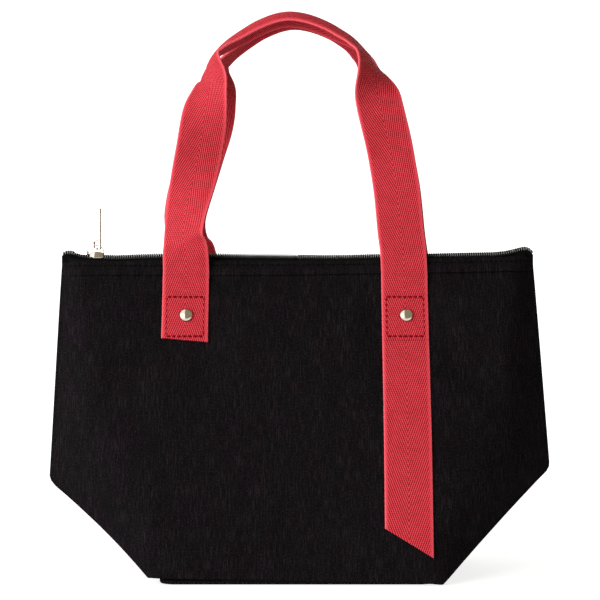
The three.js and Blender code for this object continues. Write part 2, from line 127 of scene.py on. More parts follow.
def numbered(points, row):
    first = len(points)
    points.extend(row)
    return list(range(first, len(points)))


# skin round rings of point numbers, with a face over each end ring that is named
def skinRings(faces, rings, ends=(0, -1)):
    for a, b in zip(rings, rings[1:]):
        strip(faces, a, b, closed=True)
    for k in ends:
        faces.append(tuple(rings[k]))


# Materials
bandScale = 0.31416  # a wave texture of this scale has one band to the metre

# Black polyester slub canvas, woven from uneven yarn: dead matt, with long upright slubs, a fine fleck,
# soft upright shades and patches that turn a little purple or green
slubCanvas = {"purple": "#0a0709", "green": "#080908", "yarn": "#0f0c0e", "slub": "#282125",
              "fleck": "#262125", "yarnPitch": 0.9, "slubWidth": 0.8, "slubLength": 9.0, "fleckSize": 1.1,
              "cloudSize": 26.0, "shadeWidth": 9.0, "shadeLength": 34.0, "bump": 0.25}


def makeSlubCanvas():
    d = slubCanvas
    material, tree, shader = startMaterial("slubPolyesterCanvas", {
        "Roughness": 0.95, "IOR": 1.5, "Specular IOR Level": 0.01})
    grain = addNode(tree, "TexCoord").outputs["UV"]

    def stretched(wide, long):
        return addNode(tree, "VectorMath", {0: grain, 1: (1 / (wide * mm), 1 / (long * mm), 1)},
                       operation="MULTIPLY").outputs[0]

    slub = addNode(tree, "TexNoise", {
        "Vector": stretched(d["slubWidth"], d["slubLength"]), "Scale": 1.0, "Detail": 3.0, "Roughness": 0.6})
    slubMask = addNode(tree, "MapRange", {
        "Value": slub.outputs["Fac"], "From Min": 0.47, "From Max": 0.8, "To Max": 0.8})
    fleck = addNode(tree, "TexNoise", {
        "Vector": grain, "Scale": 1 / (d["fleckSize"] * mm), "Detail": 2.0, "Roughness": 0.7})
    fleckMask = addNode(tree, "MapRange", {
        "Value": fleck.outputs["Fac"], "From Min": 0.52, "From Max": 0.8, "To Max": 0.7})
    # the real yarn is about 0.35 mm, too fine to show, so it is drawn coarser
    warp, weft = [addNode(tree, "TexWave", {
        "Vector": grain, "Scale": bandScale / (d["yarnPitch"] * mm), "Distortion": 1.2, "Detail": 1.0,
        "Detail Scale": 0.4}, wave_type="BANDS", bands_direction=way) for way in ("X", "Y")]
    weave = addNode(tree, "Math", {0: warp.outputs["Fac"], 1: weft.outputs["Fac"]},
                    operation="MULTIPLY")
    cloud = addNode(tree, "TexNoise", {
        "Vector": stretched(d["cloudSize"], d["cloudSize"]), "Scale": 1.0, "Detail": 3.0})
    tint = addNode(tree, "MapRange", {
        "Value": cloud.outputs["Fac"], "From Min": 0.36, "From Max": 0.64}, interpolation_type="SMOOTHSTEP")
    shade = addNode(tree, "TexNoise", {
        "Vector": stretched(d["shadeWidth"], d["shadeLength"]), "Scale": 1.0, "Detail": 1.0})
    worn = addNode(tree, "MapRange", {
        "Value": shade.outputs["Fac"], "From Min": 0.3, "From Max": 0.7, "To Min": 0.25, "To Max": 1.0})
    ground = addNode(tree, "Mix", {"Factor": tint.outputs[0], "A": linear(d["green"]),
                                   "B": linear(d["purple"])}, data_type="RGBA")
    slubShown = addNode(tree, "Math", {0: slubMask.outputs[0], 1: worn.outputs[0]},
                        operation="MULTIPLY")
    yarns = addNode(tree, "Mix", {"Factor": weave.outputs[0], "A": ground.outputs["Result"],
                                  "B": linear(d["yarn"])}, data_type="RGBA")
    flecked = addNode(tree, "Mix", {"Factor": fleckMask.outputs[0], "A": yarns.outputs["Result"],
                                    "B": linear(d["fleck"])}, data_type="RGBA")
    colour = addNode(tree, "Mix", {"Factor": slubShown.outputs[0], "A": flecked.outputs["Result"],
                                   "B": linear(d["slub"])}, data_type="RGBA")
    height = addNode(tree, "Math", {0: slubShown.outputs[0], 1: weave.outputs[0]}, operation="ADD")
    bump = addNode(tree, "Bump", {
        "Height": height.outputs[0], "Strength": 0.5, "Distance": d["bump"] * mm})
    wire(tree, shader, {"Base Color": colour.outputs["Result"], "Normal": bump.outputs["Normal"]})
    return material


# Red polyester herringbone webbing, woven on a narrow loom: raised floats in one broad V, with painted shade
# in the sunk places between them and towards the sides of each float
redWebbing = {"float": "#d6404c", "sink": "#6c0007", "edge": "#d2555f", "columnWidth": 0.46,
              "floatLength": 3.65, "step": 0.33, "halfWidth": 15.0, "plain": 2.4, "plainFade": 0.8,
              "selvedge": 0.9, "selvedgeFade": 0.3, "lintSize": 7.0, "bump": 0.3}


def makeRedWebbing():
    d = redWebbing
    material, tree, shader = startMaterial("redHerringboneWebbing", {
        "Roughness": 0.75, "IOR": 1.5, "Specular IOR Level": 0.12})
    grain = addNode(tree, "TexCoord").outputs["UV"]
    parts = addNode(tree, "SeparateXYZ", {"Vector": grain})
    side = addNode(tree, "Math", {0: parts.outputs["X"]}, operation="ABSOLUTE")
    column = addNode(tree, "Math", {0: side.outputs[0], 1: 1 / (d["columnWidth"] * mm), 2: 0.5},
                     operation="MULTIPLY_ADD")
    number = addNode(tree, "Math", {0: column.outputs[0]}, operation="FLOOR")
    shift = addNode(tree, "Math", {0: number.outputs[0], 1: d["step"]}, operation="MULTIPLY")
    along = addNode(tree, "Math", {0: parts.outputs["Y"], 1: d["floatLength"] * mm}, operation="DIVIDE")
    phase = addNode(tree, "Math", {0: along.outputs[0], 1: shift.outputs[0]}, operation="ADD")
    turn = addNode(tree, "Math", {0: phase.outputs[0], 1: 2 * math.pi}, operation="MULTIPLY")
    wave = addNode(tree, "Math", {0: turn.outputs[0]}, operation="SINE")
    # painted shade: the sink colour between the raised floats, and the fade towards it at the sides of each
    # float, stand for the shade in the grooves of the weave
    lifted = addNode(tree, "MapRange", {"Value": wave.outputs[0], "From Min": -0.6, "From Max": 0.6},
                     interpolation_type="SMOOTHSTEP")
    across = addNode(tree, "Math", {0: column.outputs[0], 1: 0.5}, operation="PINGPONG")
    floatSideShade = addNode(tree, "MapRange", {"Value": across.outputs[0], "From Min": 0.0, "From Max": 0.3,
                                         "To Min": 0.4, "To Max": 1.0})
    floats = addNode(tree, "Math", {0: lifted.outputs[0], 1: floatSideShade.outputs[0]}, operation="MULTIPLY")
    lint = addNode(tree, "TexNoise", {"Vector": grain, "Scale": 1 / (d["lintSize"] * mm), "Detail": 3.0})
    lintShade = addNode(tree, "MapRange", {"Value": lint.outputs["Fac"], "From Min": 0.3, "From Max": 0.7,
                                           "To Min": 0.86, "To Max": 1.08})
    shown = addNode(tree, "Math", {0: floats.outputs[0], 1: lintShade.outputs[0]}, operation="MULTIPLY")
    # plain weave along both edges, and the turned yarns of the selvedge itself
    inner = d["halfWidth"] - d["plain"]
    plain = addNode(tree, "MapRange", {"Value": side.outputs[0], "From Min": inner * mm,
                                       "From Max": (inner + d["plainFade"]) * mm, "To Max": 0.75})
    levelled = addNode(tree, "Mix", {0: plain.outputs[0], 2: shown.outputs[0], 3: 0.72},
                       data_type="FLOAT")
    body = addNode(tree, "Mix", {"Factor": levelled.outputs[0], "A": linear(d["sink"]),
                                 "B": linear(d["float"])}, data_type="RGBA")
    rim = d["halfWidth"] - d["selvedge"]
    edge = addNode(tree, "MapRange", {"Value": side.outputs[0], "From Min": rim * mm,
                                      "From Max": (rim + d["selvedgeFade"]) * mm, "To Max": 0.7})
    colour = addNode(tree, "Mix", {"Factor": edge.outputs[0], "A": body.outputs["Result"],
                                   "B": linear(d["edge"])}, data_type="RGBA")
    bump = addNode(tree, "Bump", {
        "Height": floats.outputs[0], "Strength": 0.6, "Distance": d["bump"] * mm})
    wire(tree, shader, {"Base Color": colour.outputs["Result"], "Normal": bump.outputs["Normal"]})
    return material


# Polyester sewing thread, twisted from plies: painted sheen along each ply and painted shade in the lines
# between the plies
sewingThread = {"red": ("#820010", "#58000a"), "black": ("#070708", "#030303"), "plyPitch": 0.5, "bump": 0.1}


def makeThread(name, colours):
    d = sewingThread
    light, dark = colours
    material, tree, shader = startMaterial(name, {"Roughness": 0.8, "IOR": 1.5, "Specular IOR Level": 0.04})
    place = addNode(tree, "TexCoord").outputs["Object"]
    twist = addNode(tree, "TexWave", {
        "Vector": place, "Scale": bandScale / (d["plyPitch"] * mm), "Distortion": 1.0}, wave_type="BANDS",
        bands_direction="DIAGONAL")
    # painted sheen and shade: the twist bands mix the darker colour, for shade between the plies, with the
    # lighter one, for their sheen
    colour = addNode(tree, "Mix", {"Factor": twist.outputs["Fac"], "A": linear(dark),
                                   "B": linear(light)}, data_type="RGBA")
    bump = addNode(tree, "Bump", {
        "Height": twist.outputs["Fac"], "Strength": 0.4, "Distance": d["bump"] * mm})
    wire(tree, shader, {"Base Color": colour.outputs["Result"], "Normal": bump.outputs["Normal"]})
    return material


# Nickel-plated steel, stamped and barrel-polished: warm silver mirror with faint handling marks
nickelPlate = {"clean": "#d8cdc0", "marked": "#cabeae", "markSize": 1.5, "bump": 0.1}


def makeNickel():
    d = nickelPlate
    material, tree, shader = startMaterial("nickelPlatedSteel", {"Metallic": 1.0})
    place = addNode(tree, "TexCoord").outputs["Object"]
    marks = addNode(tree, "TexNoise", {"Vector": place, "Scale": 1 / (d["markSize"] * mm), "Detail": 4.0})
    gloss = addNode(tree, "MapRange", {"Value": marks.outputs["Fac"], "To Min": 0.06, "To Max": 0.16})
    tone = addNode(tree, "Mix", {"Factor": marks.outputs["Fac"], "A": linear(d["clean"]),
                                 "B": linear(d["marked"])}, data_type="RGBA")
    bump = addNode(tree, "Bump", {
        "Height": marks.outputs["Fac"], "Strength": 0.05, "Distance": d["bump"] * mm})
    wire(tree, shader, {"Base Color": tone.outputs["Result"], "Roughness": gloss.outputs[0],
                        "Normal": bump.outputs["Normal"]})
    return material


# Black woven zip tape: fine ribs across, flatter and a little duller than the coil
zipTapeWeave = {"low": "#050505", "high": "#100f10", "ribPitch": 0.7, "pickPitch": 0.9, "bump": 0.2}


def makeZipTape():
    d = zipTapeWeave
    material, tree, shader = startMaterial("wovenZipTape", {
        "Roughness": 0.9, "IOR": 1.5, "Specular IOR Level": 0.03})
    grain = addNode(tree, "TexCoord").outputs["UV"]
    rib, pick = [addNode(tree, "TexWave", {
        "Vector": grain, "Scale": bandScale / (pitch * mm), "Distortion": 0.4}, wave_type="BANDS",
        bands_direction=way) for pitch, way in ((d["ribPitch"], "X"), (d["pickPitch"], "Y"))]
    weave = addNode(tree, "Math", {0: rib.outputs["Fac"], 1: pick.outputs["Fac"]}, operation="MULTIPLY")
    colour = addNode(tree, "Mix", {"Factor": weave.outputs[0], "A": linear(d["low"]),
                                   "B": linear(d["high"])}, data_type="RGBA")
    bump = addNode(tree, "Bump", {
        "Height": weave.outputs[0], "Strength": 0.5, "Distance": d["bump"] * mm})
    wire(tree, shader, {"Base Color": colour.outputs["Result"], "Normal": bump.outputs["Normal"]})
    return material


# Black nylon monofilament, wound into a coil and pressed: dark, with a painted highlight in pale colour on
# the crown of each turn, the flank that faces out from the wall, in random patches
coilNylon = {"dark": "#050505", "paintedGlint": "#e4e4de", "wearAndGlintSize": 9.0}


def makeNylonCoil():
    d = coilNylon
    material, tree, shader = startMaterial("nylonMonofilament", {"IOR": 1.53, "Specular IOR Level": 0.15})
    place = addNode(tree, "TexCoord")
    parts = addNode(tree, "SeparateXYZ", {"Vector": place.outputs["UV"]})
    wearAndGlint = addNode(tree, "TexNoise", {"Vector": place.outputs["Object"], "Scale": 1 / (d["wearAndGlintSize"] * mm),
                                      "Detail": 2.0})
    gloss = addNode(tree, "MapRange", {"Value": wearAndGlint.outputs["Fac"], "To Min": 0.35, "To Max": 0.6})
    # painted highlight: the crown of each turn, the flank that faces out from the wall, is given a pale
    # colour in random patches; the same noise also varies the roughness
    crown = addNode(tree, "MapRange", {"Value": parts.outputs["X"], "From Min": 0.4, "From Max": 0.85},
                    interpolation_type="SMOOTHSTEP")
    paintedGlint = addNode(tree, "Math", {0: crown.outputs[0], 1: wearAndGlint.outputs["Fac"]}, operation="MULTIPLY")
    colour = addNode(tree, "Mix", {"Factor": paintedGlint.outputs[0], "A": linear(d["dark"]),
                                   "B": linear(d["paintedGlint"])}, data_type="RGBA")
    wire(tree, shader, {"Roughness": gloss.outputs[0], "Base Color": colour.outputs["Result"]})
    return material


# Aluminised film laminated on foam: bright silver with soft crinkles and pressed pin marks
foilFilm = {"bright": "#d5d8dc", "dull": "#b4b8be", "crinkleSize": 9.0, "pinPitch": 3.0, "bump": 1.2}


def makeFoil():
    d = foilFilm
    material, tree, shader = startMaterial("aluminisedFilm", {"Metallic": 0.9})
    grain = addNode(tree, "TexCoord").outputs["UV"]
    crinkle = addNode(tree, "TexNoise", {"Vector": grain, "Scale": 1 / (d["crinkleSize"] * mm), "Detail": 4.0,
                                         "Roughness": 0.6, "Distortion": 0.8})
    pins = addNode(tree, "TexVoronoi", {"Vector": grain, "Scale": 1 / (d["pinPitch"] * mm),
                                        "Randomness": 0.25})
    pinDip = addNode(tree, "MapRange", {"Value": pins.outputs["Distance"], "From Max": 0.3,
                                        "To Min": 0.0, "To Max": 0.25})
    height = addNode(tree, "Math", {0: crinkle.outputs["Fac"], 1: pinDip.outputs[0]}, operation="ADD")
    tone = addNode(tree, "Mix", {"Factor": crinkle.outputs["Fac"], "A": linear(d["bright"]),
                                 "B": linear(d["dull"])}, data_type="RGBA")
    gloss = addNode(tree, "MapRange", {"Value": crinkle.outputs["Fac"], "To Min": 0.22, "To Max": 0.42})
    bump = addNode(tree, "Bump", {
        "Height": height.outputs[0], "Strength": 0.7, "Distance": d["bump"] * mm})
    wire(tree, shader, {"Base Color": tone.outputs["Result"], "Roughness": gloss.outputs[0],
                        "Normal": bump.outputs["Normal"]})
    return material


canvas = makeSlubCanvas()
webbing = makeRedWebbing()
redThread = makeThread("darkRedThread", sewingThread["red"])
blackThread = makeThread("blackThread", sewingThread["black"])
nickel = makeNickel()
zipTapeCloth = makeZipTape()
nylon = makeNylonCoil()
foil = makeFoil()
print("materials ready")

# Camera and studio
photoView = {"place": (0.00164, -1.0, 0.1766), "lens": 91.3, "sensor": 36.0}


def setCamera():
    eye = bpy.data.cameras.new("photoCamera")
    eye.lens = photoView["lens"]
    eye.sensor_width = photoView["sensor"]
    camera = bpy.data.objects.new("photoCamera", eye)
    camera.location = photoView["place"]
    camera.rotation_euler = (math.radians(90), 0, 0)
    scene.collection.objects.link(camera)
    scene.camera = camera


studio = {"floorHalf": (900.0, 600.0), "floorLevel": -0.3, "world": 1.4, "strip": 2.1, "bright": "#ffffff",
          "room": "#8a8876", "stripEdge": (-0.86, -0.93), "leftEdge": (-0.16, -0.23),
          "raisedEdge": (0.15, 0.35), "behindEdge": (0.4, 0.65), "keyPower": 42.0, "keySize": 1.3,
          "keyPlace": (-1.25, -1.3, 0.65), "keyTarget": (0, 0, 0.18), "acrylicLight": "#a2a2a2",
          "acrylicDark": "#9c9c9c", "hazeSize": 2.0, "glow": 0.8}


def aimedLight(name, place, power, size, target):
    lamp = bpy.data.lights.new(name, "AREA")
    lamp.energy = power
    lamp.size = size
    obj = bpy.data.objects.new(name, lamp)
    obj.location = place
    obj.rotation_euler = (Vector(target) - Vector(place)).to_track_quat("-Z", "Y").to_euler()
    scene.collection.objects.link(obj)


def setStudio():
    d = studio
    world = bpy.data.worlds.new("whiteTent")
    world.use_nodes = True
    sky = world.node_tree
    # white screens on the left and high up behind, with a strip lamp far left; the rest is a grey-green room,
    # also low down behind, where it draws the edges of the metal. The lens sees plain white.
    towards = addNode(sky, "TexCoord").outputs["Generated"]
    parts = addNode(sky, "SeparateXYZ", {"Vector": towards})
    stripFrom, stripTo = d["stripEdge"]
    strength = addNode(sky, "MapRange", {
        "Value": parts.outputs["X"], "From Min": stripFrom, "From Max": stripTo, "To Min": d["world"],
        "To Max": d["strip"]})
    leftScreen, raised, behind = [addNode(sky, "MapRange", {
        "Value": parts.outputs[axis], "From Min": low, "From Max": high}, interpolation_type="SMOOTHSTEP")
        for axis, (low, high) in (("X", d["leftEdge"]), ("Z", d["raisedEdge"]), ("Y", d["behindEdge"]))]
    backScreen = addNode(sky, "Math", {0: raised.outputs[0], 1: behind.outputs[0]},
                         operation="MULTIPLY")
    screens = addNode(sky, "Math", {0: leftScreen.outputs[0], 1: backScreen.outputs[0]},
                      operation="MAXIMUM")
    gap = addNode(sky, "Math", {0: behind.outputs[0], 1: backScreen.outputs[0]}, operation="SUBTRACT")
    screens = addNode(sky, "Math", {0: screens.outputs[0], 1: gap.outputs[0]}, operation="SUBTRACT",
                      use_clamp=True)
    lens = addNode(sky, "LightPath").outputs["Is Camera Ray"]
    screens = addNode(sky, "Math", {0: screens.outputs[0], 1: lens}, operation="MAXIMUM")
    tent = addNode(sky, "Mix", {"Factor": screens.outputs[0], "A": linear(d["room"]),
                                "B": linear(d["bright"])}, data_type="RGBA")
    wire(sky, sky.nodes["Background"], {"Strength": strength.outputs[0], "Color": tent.outputs["Result"]})
    scene.world = world
    scene.view_settings.view_transform = "Standard"
    # white acrylic sheet lit from below, so that shadows on it stay faint
    acrylic, tree, shader = startMaterial("litAcrylicSheet", {
        "Roughness": 0.9, "Specular IOR Level": 0.1, "Emission Color": linear(d["bright"]),
        "Emission Strength": d["glow"]})
    haze = addNode(tree, "TexNoise", {"Scale": 1 / (d["hazeSize"] * mm), "Detail": 3.0})
    tone = addNode(tree, "Mix", {"Factor": haze.outputs["Fac"], "A": linear(d["acrylicDark"]),
                                 "B": linear(d["acrylicLight"])}, data_type="RGBA")
    wire(tree, shader, {"Base Color": tone.outputs["Result"]})
    wide, deep = d["floorHalf"]
    corners = [(-wide, -deep), (wide, -deep), (wide, deep), (-wide, deep)]
    floor = addPiece("litFloor", [(x, y, d["floorLevel"]) for x, y in corners], [(0, 1, 2, 3)], acrylic,
                     soft=False)
    aimedLight("softKey", d["keyPlace"], d["keyPower"], d["keySize"], d["keyTarget"])


setCamera()
setStudio()
print("camera and studio ready")

# Shape of the bag. The left ear hangs a little lower and is crushed round, as in the photograph.
bagShape = {"baseHalf": {-1: 88.5, 1: 90.0}, "depthHalf": 60.0, "earHalf": {-1: 162.8, 1: 165.6},
            "earHeight": {-1: 57.8, 1: 66.5}, "earRound": {-1: 6.5, 1: 4.0}, "creaseBow": {-1: 3.3, 1: 1.2},
            "mouthHalf": 154.5, "rimHeight": 201.5, "rimDepthHalf": 10.0, "bulge": 6.0, "flatAtBase": 88.0,
            "flatAtRim": 138.5, "leastCurve": 0.5, "hemLeft": 4.4, "hemRight": 0.7, "hemHalf": 92.0,
            "edgeRound": 1.6, "foldRound": 4.0, "padThickness": 4.3, "rightRise": 2.7, "riseFrom": -10.0,
            "riseRun": 170.0, "leftDrop": 0.4, "dropFrom": -40.0, "dropRun": 60.0}


# height of the hem, which rises towards the left
def hemLow(x):
    s = bagShape
    return mix(s["hemLeft"], s["hemRight"], clamp((x + s["hemHalf"]) / (2 * s["hemHalf"])))


# half the bag's length: the crease below the ear and the side seam above it, rounded into each other
def halfLength(end, z):
    s = bagShape
    t = z / s["earHeight"][end]
    lower = mix(s["baseHalf"][end], s["earHalf"][end], t) - s["creaseBow"][end] * 4 * t * (1 - t)
    rise = s["rimHeight"] - s["earHeight"][end]
    upper = mix(s["earHalf"][end], s["mouthHalf"], (z - s["earHeight"][end]) / rise)
    h = clamp(0.5 + 0.5 * (upper - lower) / s["earRound"][end])
    return mix(upper, lower, h) - s["earRound"][end] * h * (1 - h)


# half depth at the crease, which ends in the rounded edge of the side seam
def foldDepth(end, z):
    s = bagShape
    slope = s["depthHalf"] * (1 - z / s["earHeight"][end])
    h = clamp(0.5 + 0.5 * (slope - s["edgeRound"]) / s["foldRound"])
    return mix(s["edgeRound"], slope, h) + s["foldRound"] * h * (1 - h)


# half depth at the middle of a wall
def middleDepth(z):
    s = bagShape
    t = z / s["rimHeight"]
    return mix(s["depthHalf"], s["rimDepthHalf"], t) + 4 * s["bulge"] * t * (1 - t)


# half depth anywhere on a wall: flat over the middle, then curving in to the fold
def wallDepth(x, z):
    s = bagShape
    end = -1 if x < 0 else 1
    flat = mix(s["flatAtBase"], s["flatAtRim"], smooth(z / s["rimHeight"]))
    reach = max(halfLength(end, z), flat + s["leastCurve"])
    t = clamp((abs(x) - flat) / (reach - flat))
    fold = foldDepth(end, z)
    return fold + (middleDepth(z) - fold) * math.cos(t * math.pi / 2)


# the rim band climbs towards the right end and hangs a little at the left
def bandRise(x):
    s = bagShape
    climb = s["rightRise"] * smooth((x - s["riseFrom"]) / s["riseRun"])
    return climb - s["leftDrop"] * smooth((s["dropFrom"] - x) / s["dropRun"])


# outward direction in the X-Z plane across the crease or the side seam
def edgeOut(end, z):
    slope = halfLength(end, z + 0.5) - halfLength(end, z - 0.5)
    size = math.hypot(1, slope)
    return end / size, -slope / size


# Cloth simulation of one wall: the sheet is held at its seams, rim, hem and anchors and swells on its foam
wallSim = {"columns": 64, "rows": 42, "frames": 22, "low": 2.5, "seamGap": 1.0, "pressure": 1.6,
           "slack": 0.012, "cap": 4.0, "pinRim": 12.0, "anchorX": 70.6, "anchorHalf": 17.0,
           "anchorLow": 147.0, "quality": 6, "mass": 0.35, "stiffness": 12.0, "shear": 4.0, "bending": 3.0}
puffGrid = []


def simulateWall():
    d = wallSim
    s = bagShape
    points = []
    flatPlaces = []
    for j in range(d["rows"] + 1):
        for i in range(d["columns"] + 1):
            u = 2 * i / d["columns"] - 1
            z = mix(d["low"], s["rimHeight"], j / d["rows"])
            x = u * (halfLength(-1 if u < 0 else 1, z) - d["seamGap"])
            points.append((x, -wallDepth(x, z), z))
            flatPlaces.append((x, z))
    stride = d["columns"] + 1
    faces = [(j * stride + i, j * stride + i + 1, (j + 1) * stride + i + 1, (j + 1) * stride + i)
             for j in range(d["rows"]) for i in range(d["columns"])]
    sheet = addPiece("wallSheet", points, faces, canvas)
    if sum(p.normal.y for p in sheet.data.polygons) > 0:
        sheet.data.flip_normals()
    held = sheet.vertex_groups.new(name="held")
    for k, (x, z) in enumerate(flatPlaces):
        i, j = k % stride, k // stride
        anchor = abs(abs(x) - d["anchorX"]) < d["anchorHalf"] and z > d["anchorLow"]
        border = i in (0, d["columns"]) or j == 0 or z > s["rimHeight"] - d["pinRim"]
        held.add([k], 1.0 if border or anchor else 0.0, "REPLACE")
    cloth = sheet.modifiers.new("wallCloth", "CLOTH")
    cloth.settings.quality = d["quality"]
    cloth.settings.mass = d["mass"]
    cloth.settings.tension_stiffness = d["stiffness"]
    cloth.settings.compression_stiffness = d["stiffness"]
    cloth.settings.shear_stiffness = d["shear"]
    cloth.settings.bending_stiffness = d["bending"]
    cloth.settings.use_pressure = True
    cloth.settings.uniform_pressure_force = d["pressure"]
    cloth.settings.shrink_min = -d["slack"]
    cloth.settings.effector_weights.gravity = 0
    cloth.settings.vertex_group_mass = "held"
    cloth.collision_settings.use_collision = False
    for step in range(1, d["frames"] + 1):
        scene.frame_set(step)
    settled = sheet.evaluated_get(bpy.context.evaluated_depsgraph_get())
    places = [v.co.copy() for v in settled.data.vertices]
    for j in range(d["rows"] + 1):
        row = []
        for i in range(d["columns"] + 1):
            k = j * stride + i
            row.append(clamp(points[k][1] - places[k].y / mm, -d["cap"], d["cap"]))
        puffGrid.append(row)
    scene.frame_set(1)
    mesh = sheet.data
    bpy.data.objects.remove(sheet)
    bpy.data.meshes.remove(mesh)
    least, most = min(map(min, puffGrid)), max(map(max, puffGrid))
    print("wall cloth settled, swell", round(least, 2), "to", round(most, 2))


# swell of the settled cloth at a place on the front wall
def puff(x, z):
    if not puffGrid:
        return 0.0
    d = wallSim
    end = -1 if x < 0 else 1
    u = clamp((x / (halfLength(end, z) - d["seamGap"]) + 1) / 2) * d["columns"]
    v = clamp((z - d["low"]) / (bagShape["rimHeight"] - d["low"])) * d["rows"]
    i, j = min(int(u), d["columns"] - 1), min(int(v), d["rows"] - 1)
    low = mix(puffGrid[j][i], puffGrid[j][i + 1], u - i)
    high = mix(puffGrid[j + 1][i], puffGrid[j + 1][i + 1], u - i)
    return mix(low, high, v - j)


simulateWall()


# Depth of a wall, front -1 or back 1, with its swell; the back takes the same cloth mirrored left to right
def swollen(wall, x, z):
    return wallDepth(x, z) + puff(-wall * x, z)


def wallFace(wall, x, z, out=0.0):
    return wall * (swollen(wall, x, z) + out)


wallNames = {-1: "front", 1: "back"}
endNames = {-1: "left", 1: "right"}


def wallBlend(obj):
    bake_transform(obj)


# Padded outer panel, one half of a wall: canvas on foam, rolled under at the hem and round at crease and seam
panelCut = {"columns": 56, "rows": 66, "roll": 4, "flange": 6.5, "hemFlange": 1.4, "seamGap": 0.15,
            "leastFlange": 0.1, "tuck": 1.5, "turnIn": [(0.35, 0.6), (1.0, 1.0)], "innerInset": 2.2,
            "innerLift": 3.5, "liftRows": 5, "leastDepth": 0.55}


# at the lower corner the roll turns from the crease to the hem
def cornerOut(end, z):
    ex = 0.5 * edgeOut(end, z)[0]
    return ex, -math.sqrt(1 - ex * ex)


def panelHalf(wall, end):
    d = panelCut
    s = bagShape
    n, m, r = d["columns"], d["rows"], s["edgeRound"]
    low = hemLow(end * s["hemHalf"])
    rows = [mix(low, s["rimHeight"], j / m) for j in range(m + 1)]
    points, uvs, grid = [], [], []
    for j, z in enumerate(rows):
        ex, ez = edgeOut(end, z) if j else cornerOut(end, z)
        cx, cz = end * halfLength(end, z) - ex * r, z - ez * r
        if j == m:
            cz = s["rimHeight"]
        row = []
        for i in range(n + 1):
            t = i / n
            x = cx * (1 - t)
            zz = cz + (hemLow(x) - hemLow(cx)) * (1 - j / m)
            row.append(len(points))
            points.append((x, wallFace(wall, x, zz), zz))
            uvs.append((x, zz))
        grid.append(row)
    faces = []
    for j in range(m):
        strip(faces, grid[j], grid[j + 1])
    border = [grid[j][0] for j in range(m, -1, -1)] + grid[0][1:]
    outs = [edgeOut(end, z) for z in rows[:0:-1]] + [cornerOut(end, low)] + [(0.0, -1.0)] * n
    last = border
    for step in range(1, d["roll"] + 1):
        angle = math.pi / 2 * step / d["roll"]
        ring = []
        for number, (ex, ez) in zip(border, outs):
            x, y, z = points[number]
            ring.append((x + ex * r * math.sin(angle), y - wall * r * (1 - math.cos(angle)),
                         z + ez * r * math.sin(angle)))
            uvs.append((x + ex * step, z + ez * step))
        row = numbered(points, ring)
        strip(faces, last, row)
        last = row
    rolled = last
    for share, sink in d["turnIn"]:
        grainOut = d["roll"] + d["roll"] * share
        ring = []
        for k, number in enumerate(rolled):
            x, y, z = points[number]
            ex, ez = outs[k]
            reach = clamp(abs(y) - d["seamGap"], d["leastFlange"], d["flange"]) if k <= m else d["hemFlange"]
            ring.append((x - ex * d["tuck"] * sink, y - wall * reach * share, z - ez * d["tuck"] * sink))
            uvs.append((x + ex * grainOut, z + ez * grainOut))
        row = numbered(points, ring)
        strip(faces, last, row)
        last = row
    inner = []
    for j in range(m + 1):
        row = []
        for i in range(n + 1):
            x, y, zz = points[grid[j][i]]
            xi = x - end * d["innerInset"] * (1 - i / n)
            zi = zz + d["innerLift"] * (1 - smooth(j / d["liftRows"]))
            deep = max(swollen(wall, xi, zi) - s["padThickness"], d["leastDepth"])
            row.append(len(points))
            points.append((xi, wall * deep, zi))
            uvs.append((xi, zi))
        inner.append(row)
    for j in range(m):
        strip(faces, inner[j], inner[j + 1])
    strip(faces, last, [inner[j][0] for j in range(m, -1, -1)] + inner[0][1:])
    strip(faces, grid[m], inner[m])
    # closing face where the two halves meet at the middle, on points of its own
    outer = [points[grid[j][n]] for j in range(m + 1)]
    inside = [points[inner[j][n]] for j in range(m + 1)]
    capA, capB = numbered(points, outer), numbered(points, inside)
    uvs.extend([(0, p[2]) for p in outer + inside])
    strip(faces, capA, capB)
    name = wallNames[wall] + "Panel." + endNames[end]
    obj = addPiece(name, points, faces, canvas, uvs)
    wallBlend(obj)
    return obj


for wall in (-1, 1):
    for end in (-1, 1):
        panel = panelHalf(wall, end)
        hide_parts(wallNames[wall] + "_panel", wallNames[wall] + "_foam")
print("wall panels made")

# Base gusset: the folded triangle between the two creases, sagging a little between them
gussetCut = {"rows": 34, "columns": 22, "thick": 1.1, "sag": 2.4, "sagShape": 0.7, "gap": 0.12,
             "tipDrop": 3.0, "leastHalf": 0.3, "skinTaper": 0.004, "underTaper": 0.008, "grain": 1.5,
             "under": [(-0.5, 0.7), (-0.7, 2.4), (-0.6, 9.0)]}


# sag at a share of the half width, the height given as an angle from 0 at the hem to pi at the tip
def gussetSag(across, rising):
    return gussetCut["sag"] * (1 - across ** 2) * math.sin(rising) ** gussetCut["sagShape"]


